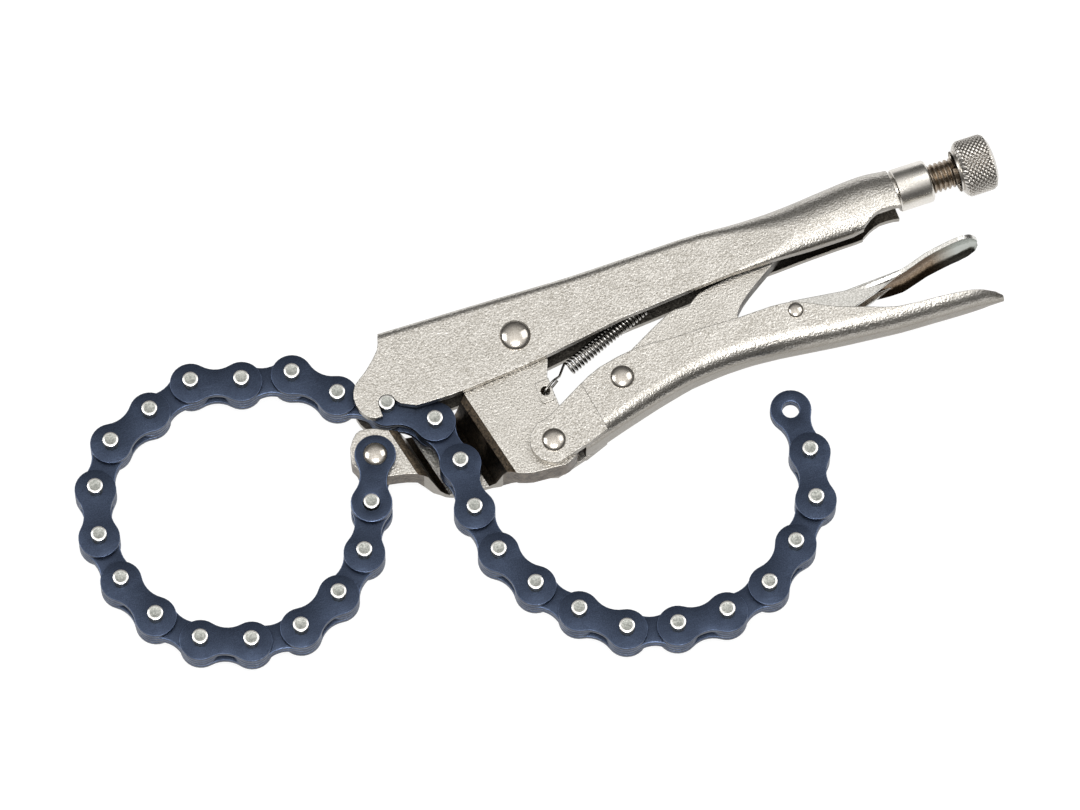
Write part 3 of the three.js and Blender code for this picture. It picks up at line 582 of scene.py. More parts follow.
def arc_from(
    bm: bmesh.types.BMesh, vert: bmesh.types.BMVert, centre: Vector, axis: Vector, degrees: float, steps: int
) -> bmesh.types.BMVert:
    """Draws an arc from a vertex.

    Args:
        bm: The mesh.
        vert: Where the arc starts.
        centre: Its centre.
        axis: The axis that it turns about.
        degrees: How far it turns.
        steps: Number of edges.

    Returns:
        The vertex at its end.
    """
    made = bmesh.ops.spin(
        bm, geom=[vert], cent=centre, axis=axis, angle=math.radians(degrees), steps=steps, use_duplicate=False
    )
    return next(item for item in made["geom_last"] if isinstance(item, bmesh.types.BMVert))


def line_to(bm: bmesh.types.BMesh, vert: bmesh.types.BMVert, place: Vector) -> bmesh.types.BMVert:
    """Draws a straight edge from a vertex.

    Args:
        bm: The mesh.
        vert: Where the edge starts.
        place: Where it ends.

    Returns:
        The vertex at its end.
    """
    made = bmesh.ops.extrude_vert_indiv(bm, verts=[vert])["verts"][0]
    made.co = place
    return made


def drawn(points: list[Vector], closed: bool = False) -> bmesh.types.BMesh:
    """Draws a line of straight edges.

    Args:
        points: Its corners.
        closed: Whether its end meets its start.

    Returns:
        A mesh that has only the line.
    """
    bm = bmesh.new()
    first = vert = bm.verts.new(points[0])
    for point in points[1:]:
        vert = line_to(bm, vert, point)
    if closed:
        bm.edges.new((vert, first))
    return bm


def turned(profile: Table, steps: int) -> bmesh.types.BMesh:
    """Turns a profile about the X axis.

    Args:
        profile: Distance along and radius of each corner, a closed ring or ending on the axis.
        steps: Sides of the turned piece.

    Returns:
        The turned mesh.
    """
    line = drawn([Vector((along, 0, radius)) for along, radius in profile])
    return spun(line, Vector((1, 0, 0)), steps)


def spun(bm: bmesh.types.BMesh, axis: Vector, steps: int) -> bmesh.types.BMesh:
    """Spins all edges of a mesh once round and closes it.

    Args:
        bm: The mesh with its profile.
        axis: The axis through the origin.
        steps: Number of sides.

    Returns:
        The same mesh.
    """
    geom = list(bm.verts) + list(bm.edges)
    bmesh.ops.spin(bm, geom=geom, cent=(0, 0, 0), axis=axis, angle=math.tau, steps=steps, use_merge=True)
    bmesh.ops.remove_doubles(bm, verts=bm.verts, dist=FINE_WELD)
    bmesh.ops.recalc_face_normals(bm, faces=bm.faces)
    return bm


def add_mesh(target: bmesh.types.BMesh, source: bmesh.types.BMesh) -> None:
    """Adds a mesh to another and frees it.

    Args:
        target: The mesh that grows.
        source: The mesh that is added.
    """
    mesh = bpy.data.meshes.new("part")
    source.to_mesh(mesh)
    source.free()
    target.from_mesh(mesh)
    bpy.data.meshes.remove(mesh)


def softened(points: list[Vector], rounds: int = 2, share: float = 0.25) -> list[Vector]:
    """Cuts the corners of a line again and again.

    Args:
        points: The line.
        rounds: How often.
        share: How much of an edge is cut off at each end.

    Returns:
        A finer line with rounder bends.
    """
    for _ in range(rounds):
        cut = [points[0]]
        for first, second in zip(points, points[1:]):
            cut += [first.lerp(second, share), first.lerp(second, 1 - share)]
        points = cut + [points[-1]]
    return points


@dataclass
class Chain:
    """The chain: blued plates whose rims are painted paler as a highlight, on long steel pins. Lengths are in
    millimetres.
    """

    pitch: float = 15.875
    plate_radius: float = 6.5
    waist: float = 4.25
    plate: float = 2.0
    plate_low: float = 2.15
    wide_low: float = 4.45
    rim: float = 0.32
    pin_radius: float = 2.4
    pin_reach: float = 8.0
    pin_chamfer: float = 0.5
    rim_drop: float = 0.16
    rim_flat: float = 0.12
    rim_margin: float = 0.15
    pin_hollow: float = 0.12
    hollow_side: float = 0.1
    hollow_share: float = 0.5
    chamfer_foot: float = 0.2
    bore_gap: float = 0.3
    rivet_shank: float = 2.3
    end_steps: int = 22
    waist_steps: int = 7
    pin_steps: int = 28
    rim_segments: int = 2
    corner_radians: float = 1.0
    sharp_degrees: float = 40

    def outline(self, bm: bmesh.types.BMesh) -> None:
        """Draws the edge of a plate: two round ends and a hollow waist.

        Args:
            bm: The mesh to draw in.
        """
        middle = self.pitch / 2
        hollow = (middle**2 + self.waist**2 - self.plate_radius**2) / (2 * (self.plate_radius - self.waist))
        turn = math.degrees(math.atan2(self.waist + hollow, middle))
        angle = math.radians(turn)
        start = Vector((math.cos(angle), math.sin(angle), 0)) * self.plate_radius
        vert = bm.verts.new(start)
        ends = 360 - 2 * turn
        bend = 180 - 2 * turn
        below = Vector((middle, -self.waist - hollow, 0))
        above = Vector((middle, self.waist + hollow, 0))
        vert = arc_from(bm, vert, Vector((0, 0, 0)), UP, ends, self.end_steps)
        vert = arc_from(bm, vert, below, UP, -bend, self.waist_steps)
        vert = arc_from(bm, vert, Vector((self.pitch, 0, 0)), UP, ends, self.end_steps)
        arc_from(bm, vert, above, UP, -bend, self.waist_steps)
        bmesh.ops.remove_doubles(bm, verts=bm.verts, dist=WELD)

    def plate_mesh(self, low: float, holes: Table) -> bmesh.types.BMesh:
        """Makes one plate with bevelled rims.

        Args:
            low: Height of its lower face.
            holes: Place along the plate and radius of each hole.

        Returns:
            The plate, whose rim has the second material, a painted highlight.
        """
        bm = bmesh.new()
        self.outline(bm)
        for along, radius in holes:
            bmesh.ops.create_circle(
                bm, cap_ends=False, radius=radius, segments=self.pin_steps, matrix=Matrix.Translation((along, 0, 0))
            )
        bmesh.ops.triangle_fill(bm, use_beauty=True, edges=bm.edges, normal=(0, 0, 1))
        made = bmesh.ops.extrude_face_region(bm, geom=bm.faces[:])
        upper = [item for item in made["geom"] if isinstance(item, bmesh.types.BMVert)]
        bmesh.ops.translate(bm, verts=upper, vec=(0, 0, self.plate))
        bmesh.ops.recalc_face_normals(bm, faces=bm.faces)
        corners = [edge for edge in bm.edges if edge.calc_face_angle(0) > self.corner_radians]
        made = bmesh.ops.bevel(
            bm, geom=corners, offset=self.rim, offset_type="OFFSET", affect="EDGES", segments=self.rim_segments,
            profile=0.5, material=-1, clamp_overlap=True,
        )
        # The bevelled rim gets the painted highlight.
        for face in made["faces"]:
            face.material_index = 1
        bmesh.ops.translate(bm, verts=bm.verts, vec=(0, 0, low))
        return bm

    def pin_mesh(self, along: float) -> bmesh.types.BMesh:
        """Makes a pin with chamfered, slightly hollow ends.

        Args:
            along: Its place along the link.

        Returns:
            The pin, with the third material on its shank and ends and the fourth, a painted highlight, on its rims.
        """
        reach, radius, chamfer = self.pin_reach, self.pin_radius, self.pin_chamfer
        flat = radius - chamfer
        profile = [(0.0, reach - self.pin_hollow), (radius * self.hollow_share, reach - self.hollow_side)]
        profile += [(flat - self.rim_flat, reach), (flat, reach)]
        profile += [(radius, reach - self.rim_drop), (radius, reach - chamfer - self.chamfer_foot)]
        profile += [(across, -height) for across, height in reversed(profile)]
        bm = spun(drawn([Vector((across, 0, height)) for across, height in profile]), UP, self.pin_steps)
        # Faces of the chamfered rim get the painted highlight.
        for face in bm.faces:
            middle = face.calc_center_median()
            on_rim = abs(middle.z) > reach - chamfer and middle.xy.length > flat - self.rim_margin
            face.material_index = 3 if on_rim else 2
        bmesh.ops.translate(bm, verts=bm.verts, vec=(along, 0, 0))
        return bm

    def link_mesh(self, number: int) -> bmesh.types.BMesh:
        """Makes a link: an outer one with its two pins, or an inner one of two plates.

        Args:
            number: Its number in the chain.

        Returns:
            The mesh along the X axis from the first pin.
        """
        bm = bmesh.new()
        if number % 2:
            for low in (self.plate_low, -self.plate_low - self.plate):
                add_mesh(bm, self.plate_mesh(low, []))
            for along in (0.0, self.pitch):
                add_mesh(bm, self.pin_mesh(along))
        else:
            bores = [(along, self.pin_radius + self.bore_gap) for along in (0.0, self.pitch)]
            for low in (0.0, -self.plate):
                add_mesh(bm, self.plate_mesh(low, bores))
        return bm

    def build(self) -> None:
        """Makes every link at the pin that carries it."""
        starts = {joint["child"]: Vector(joint["pos_m"]) for joint in frame["joints"] if "pos_m" in joint}
        for name in sorted(frame["nodes"]):
            if "_link_" in name and name[-2:].isdigit():
                number = int(name[-2:])
                self.add_link(self.link_mesh(number), name, starts[f"chain_{number:02d}"])
        holes = [(0.0, self.rivet_shank + self.bore_gap), (self.pitch, self.pin_radius + self.bore_gap)]
        for base, name in (
            (self.wide_low, "first_link_near_plate"),
            (-self.wide_low - self.plate, "first_link_far_plate"),
        ):
            self.add_link(self.plate_mesh(base, holes), name, starts["chain_00"])

    def add_link(self, bm: bmesh.types.BMesh, name: str, start: Vector) -> None:
        """Puts a link's mesh in place and dresses it.

        Args:
            bm: Its mesh.
            name: The CAD node that it stands for.
            start: Its first pin in the frame.
        """
        low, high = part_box(name)
        middle = (low + high) / 2
        heading = math.atan2(middle.y - start.y, middle.x - start.x)
        base = Vector((start.x, start.y, ORIGIN.z))
        place = Matrix.Translation(base) @ Matrix.Rotation(heading, 4, "Z") @ Matrix.Scale(MM, 4)
        finishes = [BLUED, BLUED_RIM_PAINTED_HIGHLIGHT, PIN_END, PIN_RIM_PAINTED_HIGHLIGHT]
        finished(bm, "blued_" + name, finishes, [name], place, self.sharp_degrees)


@dataclass
class Rivet:
    """A rivet with a polished dome on each side. Lengths are in millimetres."""

    node: str
    along: float
    up: float
    radius: float
    seat: float
    sink: float = 0.4
    dome_share: float = 0.36
    skirt_share: float = 0.985
    shank_share: float = 0.6
    dome_steps: int = 12
    sides: int = 48
    sharp_degrees: float = 50

    def build(self) -> None:
        """Turns the two domes and the shank about Z."""
        bm = bmesh.new()
        vert = bm.verts.new((0, 0, 1))
        arc_from(bm, vert, Vector((0, 0, 0)), Vector((0, 1, 0)), 90, self.dome_steps)
        scale = (self.radius, self.radius, self.radius * self.dome_share)
        bmesh.ops.scale(bm, vec=scale, verts=bm.verts)
        bmesh.ops.translate(bm, vec=(0, 0, self.seat), verts=bm.verts)
        lowest = max(bm.verts, key=lambda item: item.co.x)
        under = self.seat - self.sink
        edge = line_to(bm, lowest, Vector((self.radius * self.skirt_share, 0, under)))
        waist = line_to(bm, edge, Vector((self.radius * self.shank_share, 0, under)))
        line_to(bm, waist, Vector((self.radius * self.shank_share, 0, 0)))
        bmesh.ops.mirror(bm, geom=bm.verts[:] + bm.edges[:], axis="Z", merge_dist=FINE_WELD)
        spun(bm, UP, self.sides)
        bmesh.ops.translate(bm, vec=(self.along, self.up, 0), verts=bm.verts)
        finished(bm, "domed_" + self.node, [POLISHED], [self.node], PLACE, self.sharp_degrees)


@dataclass
class Screw:
    """The adjusting screw: collar, thread, rod and knurled knob. Lengths are in millimetres."""

    rise: float = 9.2
    rod_start: float = 98.6
    rod_radius: float = 4.325
    rod_chamfer: float = 0.5
    rod_sides: int = 40
    run_in: float = 1.0
    run_out: float = 1.6
    core_gap: float = 0.1
    root_radius: float = 3.95
    thread_radius: float = 4.7
    thread_start: float = 112.5
    thread_pitch: float = 1.5875
    thread_turns: int = 23
    thread_steps: int = 28
    root_share: float = 0.1
    collar_start: float = 129.5
    collar_end: float = 141.3
    collar_radius: float = 6.9
    collar_round: float = 1.0
    collar_round_steps: int = 4
    collar_chamfer: float = 0.35
    collar_seat: float = 0.5
    collar_sides: int = 72
    spigot_start: float = 122.0
    spigot_radius: float = 5.3
    bore_radius: float = 4.85
    bore_chamfer: float = 0.4
    knob_start: float = 150.3
    knob_length: float = 12.8
    knob_radius: float = 9.2
    socket_depth: float = 5.0
    knurl_around: int = 32
    knurl_rows: float = 6.0
    knurl_depth: float = 0.62
    knurl_cells: int = 6
    knurl_shares: Pair = (0.15, 0.87)
    knurl_power: float = 1.5
    # Depth share from which a point lies in a groove that gets painted shade.
    shade_groove_level: float = 0.9
    side_share: float = 0.8
    step_margin: float = 0.01
    rod_degrees: float = 50
    collar_degrees: float = 40
    knob_degrees: float = 22
    knob_shares: Table = (
        (0.0, 0.725), (0.07, 0.71), (0.07, 0.78), (0.15, 0.93), (0.20, 0.985), (0.23, 1.0), (0.77, 1.0),
        (0.81, 0.985), (0.87, 0.93), (0.94, 0.74), (0.98, 0.45), (1.0, 0.0),
    )

    def on_axis(self) -> Matrix:
        """Returns the place of the screw's axis, for a piece turned about X."""
        return PLACE @ Matrix.Translation((0, self.rise, 0))

    def build_rod(self) -> None:
        """Makes the rod and its thread by a spin that moves along."""
        half = self.thread_pitch / 2
        flat = self.thread_pitch * self.root_share
        root, crest = self.root_radius, self.thread_radius
        groove = [(0, root), (flat, root), (half - flat, crest), (half + flat, crest), (2 * half, root)]
        bm = drawn([Vector((self.thread_start + along, 0, radius)) for along, radius in groove])
        bmesh.ops.spin(
            bm, geom=bm.verts[:] + bm.edges[:], cent=(0, 0, 0), axis=(1, 0, 0), angle=math.tau * self.thread_turns,
            steps=self.thread_steps * self.thread_turns, dvec=(self.thread_pitch / self.thread_steps, 0, 0),
        )
        bmesh.ops.remove_doubles(bm, verts=bm.verts, dist=WELD)
        bmesh.ops.holes_fill(bm, edges=bm.edges, sides=0)
        bmesh.ops.recalc_face_normals(bm, faces=bm.faces)
        rear = self.knob_start + self.socket_depth
        core = root - self.core_gap
        profile = [(self.rod_start, 0.0), (self.rod_start, self.rod_radius - self.rod_chamfer)]
        profile += [(self.rod_start + self.rod_chamfer, self.rod_radius)]
        profile += [(self.thread_start + self.run_in, self.rod_radius), (self.thread_start + self.run_out, core)]
        profile += [(rear, core), (rear, 0.0)]
        add_mesh(bm, turned(profile, self.rod_sides))
        finished(bm, "threaded_rod", [THREAD], ["screw_rod"], self.on_axis(), self.rod_degrees)

    def build_collar(self) -> None:
        """Turns the collar that holds the thread."""
        steps = self.collar_round_steps
        rounds = [
            (
                self.collar_end - self.collar_round * (1 - math.sin(angle)),
                self.collar_radius - self.collar_round * (1 - math.cos(angle)),
            )
            for angle in (math.pi / 2 * step / steps for step in range(steps + 1))
        ]
        face = self.collar_start + self.collar_seat
        profile = [(self.spigot_start, self.bore_radius), (self.spigot_start, self.spigot_radius)]
        profile += [(face, self.spigot_radius), (face, self.collar_radius - self.collar_chamfer)]
        profile += [(face + self.collar_chamfer, self.collar_radius), *rounds]
        profile += [(self.collar_end, self.bore_radius + self.bore_chamfer)]
        profile += [(self.collar_end - self.bore_chamfer, self.bore_radius), profile[0]]
        bm = turned(profile, self.collar_sides)
        place, degrees = self.on_axis(), self.collar_degrees
        finished(bm, "screw_collar", [NICKEL_TURNED], ["threaded_collar"], place, degrees)

    def build_knob(self) -> None:
        """Turns the knob and cuts its diamond knurl by moving the points of its side."""
        profile = [
            (self.knob_start + self.knob_length * share, self.knob_radius * wide) for share, wide in self.knob_shares
        ]
        low, high = (self.knob_start + share * self.knob_length for share in self.knurl_shares)
        rows = int(self.knurl_rows * self.knurl_cells)
        dense = [self.side_point(low + (high - low) * row / rows) for row in range(rows + 1)]
        front = [point for point in profile if point[0] < low - self.step_margin]
        rear = [point for point in profile if point[0] > high + self.step_margin]
        bm = turned(front + dense + rear, self.knurl_around * self.knurl_cells)
        self.cut_knurl(bm, low, high)
        place, degrees = self.on_axis(), self.knob_degrees
        finished(bm, "knurled_knob", [KNURLED, KNURL_GROOVE_PAINTED_SHADE], ["screw_knob"], place, degrees)

    def side_point(self, along: float) -> Pair:
        """Reads the knob's side between the points of its profile.

        Args:
            along: Place along the axis.

        Returns:
            The place and the radius there.
        """
        share = (along - self.knob_start) / self.knob_length
        for (first, wide), (second, narrow) in zip(self.knob_shares, self.knob_shares[1:]):
            if first <= share <= second and second > first:
                part = (share - first) / (second - first)
                return along, self.knob_radius * (wide + (narrow - wide) * part)
        return along, self.knob_radius

    def cut_knurl(self, bm: bmesh.types.BMesh, low: float, high: float) -> None:
        """Sinks the grooves between the knurl's diamonds and gives their faces painted shade.

        Args:
            bm: The knob's mesh, about X.
            low: Where the knurl starts.
            high: Where it ends.
        """
        shaded_grooves = set()
        for vert in bm.verts:
            radius = vert.co.yz.length
            if not low < vert.co.x < high or radius < self.knob_radius * self.side_share:
                continue
            around = math.atan2(vert.co.z, vert.co.y) / math.tau * self.knurl_around
            along = (vert.co.x - low) / (high - low) * self.knurl_rows
            one = abs((around + along) % 1 - 0.5) * 2
            two = abs((around - along) % 1 - 0.5) * 2
            depth = max(one, two) ** self.knurl_power
            if depth > self.shade_groove_level:
                shaded_grooves.add(vert)
            vert.co.yz = vert.co.yz * (1 - self.knurl_depth * depth / radius)
        # Faces in the grooves get painted shade.
        for face in bm.faces:
            face.material_index = int(sum(vert in shaded_grooves for vert in face.verts) > 1)

    def build(self) -> None:
        """Makes the three pieces."""
        self.build_rod()
        self.build_collar()
        self.build_knob()


@dataclass
class Spring:
    """The coil spring between the jaw and the handle. Lengths are in millimetres."""

    start: Pair = (13.0, -13.4)
    eye: Pair = (3.1, -19.8)
    slope: float = 21.9
    turns: int = 24
    pitch: float = 1.3
    radius: float = 2.1
    wire: float = 0.4
    wire_rounds: int = 3
    wire_weld: float = 1e-6
    sharp_degrees: float = 60
    eye_radius: float = 1.55
    turn_steps: int = 20
    hook_levels: tuple[float, ...] = (1.35, 1.35, 1.75, 3.35, 5.75, 6.15, 6.15, 3.07)
    hook_shares: tuple[float, ...] = (4, 1, -0.2, -0.45, -0.2, 1, 2.6, 4.6)
    lug_offset: Pair = (6.3, 2.52)
    lug_reach: float = 1.9
    lug_angles: Pair = (250, 20)
    lug_steps: int = 16

    def forward(self) -> Vector:
        """Returns the direction from the jaw to the handle."""
        slope = math.radians(self.slope)
        return Vector((math.cos(slope), math.sin(slope), 0))

    def end(self) -> Vector:
        """Returns the rear end of the coil."""
        return Vector((*self.start, 0)) + self.forward() * self.turns * self.pitch

    def line(self) -> list[Vector]:
        """Draws the front hook, the curls and the rear hook.

        Returns:
            The wire's centre line.
        """
        start = Vector((*self.start, 0))
        eye = Vector((*self.eye, 0))
        toward = (start - eye).normalized()
        points = [
            eye + toward * share * self.eye_radius + UP * level
            for share, level in zip(self.hook_shares, self.hook_levels)
        ]
        points = softened(points)
        forward = self.forward()
        side = UP.cross(forward)
        for step in range(self.turns * self.turn_steps + 1):
            angle = math.tau * step / self.turn_steps
            along = step / self.turn_steps * self.pitch
            points.append(
                start + forward * along + side * self.radius * math.cos(angle) + UP * self.radius * math.sin(angle)
            )
        lug = self.end() + Vector((*self.lug_offset, 0))
        first, last = (math.radians(angle) for angle in self.lug_angles)
        for step in range(self.lug_steps + 1):
            angle = first + (last - first) * step / self.lug_steps
            points.append(lug + Vector((math.cos(angle), math.sin(angle), 0)) * self.lug_reach)
        return points

    def build(self) -> None:
        """Draws the wire as a curve and makes it a mesh in place, on no body."""
        curve = bpy.data.curves.new("wire_line", "CURVE")
        curve.dimensions = "3D"
        curve.bevel_depth = self.wire * MM
        curve.bevel_resolution = self.wire_rounds
        curve.use_fill_caps = True
        line = self.line()
        spline = curve.splines.new("POLY")
        spline.points.add(len(line) - 1)
        for point, place in zip(spline.points, line):
            point.co = (*(PLACE @ place), 1)
        holder = bpy.data.objects.new("wire_line", curve)
        bpy.context.scene.collection.objects.link(holder)
        bpy.context.view_layer.update()
        shape = holder.evaluated_get(bpy.context.evaluated_depsgraph_get())
        bm = bmesh.new()
        bm.from_mesh(shape.to_mesh())
        bpy.data.objects.remove(holder)
        bmesh.ops.remove_doubles(bm, verts=bm.verts, dist=self.wire_weld)
        bmesh.ops.recalc_face_normals(bm, faces=bm.faces)
        degrees = self.sharp_degrees
        piece = finished(bm, "coiled_spring", [WIRE], ["jaw_spring"], None, degrees, rides=False)
        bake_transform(piece)


def read(table: Table, at: float, spread: float = 0.0, reach: int = 3) -> float:
    """Reads a table of places and values, straight between its points.

    Args:
        table: Places and values in order of place.
        at: Where to read.
        spread: Half the width over which the reading is evened out.
        reach: Number of readings on each side that even it out.

    Returns:
        The value.
    """
    if spread:
        readings = [read(table, at + spread * step / reach) for step in range(-reach, reach + 1)]
        return sum(readings) / len(readings)
    if at <= table[0][0]:
        return table[0][1]
    for (low, first), (high, second) in zip(table, table[1:]):
        if low <= at <= high:
            return first + (second - first) * (at - low) / (high - low)
    return table[-1][1]


def prism(points: Table, half: float) -> bmesh.types.BMesh:
    """Extrudes a side view across the clamp.

    Args:
        points: Corners of the side view.
        half: Half of its thickness.

    Returns:
        The closed mesh.
    """
    bm = drawn([Vector((*point, -half)) for point in points], closed=True)
    bmesh.ops.contextual_create(bm, geom=bm.edges[:])
    made = bmesh.ops.extrude_face_region(bm, geom=bm.faces[:])
    upper = [item for item in made["geom"] if isinstance(item, bmesh.types.BMVert)]
    bmesh.ops.translate(bm, verts=upper, vec=(0, 0, 2 * half))
    bmesh.ops.recalc_face_normals(bm, faces=bm.faces)
    return bm


def rod(place: Pair, radius: float, half: float, sides: int = 40) -> bmesh.types.BMesh:
    """Makes a round bar along Z.

    Args:
        place: Its axis.
        radius: Its radius.
        half: Half of its length.
        sides: Its number of sides.

    Returns:
        The closed mesh.
    """
    bm = bmesh.new()
    middle = Matrix.Translation((*place, 0))
    bmesh.ops.create_cone(
        bm, cap_ends=True, segments=sides, radius1=radius, radius2=radius, depth=2 * half, matrix=middle
    )
    return bm


def loose(bm: bmesh.types.BMesh) -> bpy.types.Object:
    """Makes an object that is only worked with.

    Args:
        bm: Its mesh, which is freed.

    Returns:
        The object.
    """
    mesh = bpy.data.meshes.new("blank")
    bm.to_mesh(mesh)
    bm.free()
    thing = bpy.data.objects.new("blank", mesh)
    bpy.context.scene.collection.objects.link(thing)
    return thing


def carve(bm: bmesh.types.BMesh, cuts: list[tuple[bmesh.types.BMesh, str]]) -> bmesh.types.BMesh:
    """Cuts or joins a mesh with others, one after another.

    Args:
        bm: The mesh, which is freed.
        cuts: Each other mesh and what it does.

    Returns:
        The result.
    """
    blank = loose(bm)
    tools = []
    for other, operation in cuts:
        tool = loose(other)
        tools.append(tool)
        cut = blank.modifiers.new("cut", "BOOLEAN")
        cut.operation = operation
        cut.solver = "MANIFOLD"
        cut.object = tool
    bpy.context.view_layer.update()
    shape = blank.evaluated_get(bpy.context.evaluated_depsgraph_get())
    made = bmesh.new()
    made.from_mesh(shape.to_mesh())
    for thing in [blank, *tools]:
        bpy.data.objects.remove(thing)
    bmesh.ops.remove_doubles(made, verts=made.verts, dist=WELD)
    bmesh.ops.dissolve_degenerate(made, edges=made.edges, dist=WELD)
    return made


@dataclass(kw_only=True)
class Loft:
    """A pressed sheet along X that sections at its stations give. Lengths are in millimetres."""

    crown: Table
    half: Table
    wall: float
    spread: float = 3.0
    match_digits: int = 4

    def ring(self, at: float) -> tuple[list[Vector], int]:
        """Draws a section.

        Args:
            at: Place along X.

        Returns:
            Its corners, and how many of them lie on the outer skin.
        """
        raise NotImplementedError

    def mesh(self, stations: list[float]) -> bmesh.types.BMesh:
        """Lofts the sheet by extruding its section from station to station.

        Args:
            stations: Places along X.

        Returns:
            The closed mesh, whose inside has the second material.
        """
        points, outside = self.ring(stations[0])
        bm = drawn(points, closed=True)
        edges = bm.edges[:]
        bmesh.ops.contextual_create(bm, geom=edges)
        for station in stations[1:]:
            index = {self.key(point): number for number, point in enumerate(points)}
            made = bmesh.ops.extrude_edge_only(bm, edges=edges)["geom"]
            points, outside = self.ring(station)
            numbers = {item: index[self.key(item.co)] for item in made if isinstance(item, bmesh.types.BMVert)}
            for moved, number in numbers.items():
                moved.co = points[number]
            bars = [item for item in made if isinstance(item, bmesh.types.BMEdge)]
            edges = [bar for bar in bars if all(end in numbers for end in bar.verts)]
            for edge in edges:
                if all(numbers[end] >= outside for end in edge.verts):
                    for face in edge.link_faces:
                        face.material_index = 1
        bmesh.ops.contextual_create(bm, geom=edges)
        bmesh.ops.recalc_face_normals(bm, faces=bm.faces)
        return bm

    def key(self, place: Vector) -> tuple[float, ...]:
        """Returns a place rounded, by which a corner is found again."""
        return tuple(round(value, self.match_digits) for value in place)


@dataclass(kw_only=True)
class Channel(Loft):
    """A sheet folded into a channel, with round corners and curled lips. Lengths are in millimetres.

    Its tables give the crown's height, the half width, the corner's radius, the lip's foot, its curl and how tall the
    corner is beside its radius, each by the place along X. A flip of -1 turns the channel upside down.
    """

    corner: Table
    foot: Table
    curl: Table
    flip: int = 1
    tall: Table = ((0, 1),)
    curl_tall: float = 1.5
    rise_share: float = 1.12
    rise_over: float = 1.5
    least: float = 0.3
    corner_steps: int = 12
    lip_steps: int = 8

    def half_section(self, at: float, inward: float) -> list[Pair]:
        """Draws half of a section.

        Args:
            at: Place along X.
            inward: How far the skin lies inside the outer one.

        Returns:
            Pairs of Z and Y, from the lip to the crown.
        """
        half = read(self.half, at, self.spread) - inward
        crown = read(self.crown, at, self.spread) - inward
        bend = read(self.corner, at, self.spread)
        corner = max(min(bend, half - self.least) - inward, self.least)
        tall = read(self.tall, at, self.spread)
        rise = max(min(bend * self.rise_share, half + self.rise_over) * tall - inward, self.least)
        foot = read(self.foot, at)
        curl = read(self.curl, at, self.spread)
        points = []
        for step in range(self.lip_steps + 1):
            angle = math.pi / 2 * step / self.lip_steps
            points.append((half - curl + curl * math.sin(angle), foot + curl * self.curl_tall * (1 - math.cos(angle))))
        for step in range(self.corner_steps + 1):
            angle = math.pi / 2 * step / self.corner_steps
            points.append((half - corner + corner * math.cos(angle), crown - rise + rise * math.sin(angle)))
        return points

    def ring(self, at: float) -> tuple[list[Vector], int]:
        """Draws a section from the outer skin to the inner one.

        Args:
            at: Place along X.

        Returns:
            Its corners, and how many of them lie on the outer skin.
        """
        outer = self.half_section(at, 0)
        inner = self.half_section(at, self.wall)
        line = outer + [(-z, y) for z, y in reversed(outer)] + [(-z, y) for z, y in inner] + list(reversed(inner))
        return [Vector((at, self.flip * y, self.flip * z)) for z, y in line], 2 * len(outer)


def spaced(low: float, high: float, step: float) -> list[float]:
    """Spaces stations evenly.

    Args:
        low: The first station.
        high: The last one.
        step: About how far apart they lie.

    Returns:
        The stations.
    """
    count = max(1, round((high - low) / step))
    return [low + (high - low) * index / count for index in range(count + 1)]


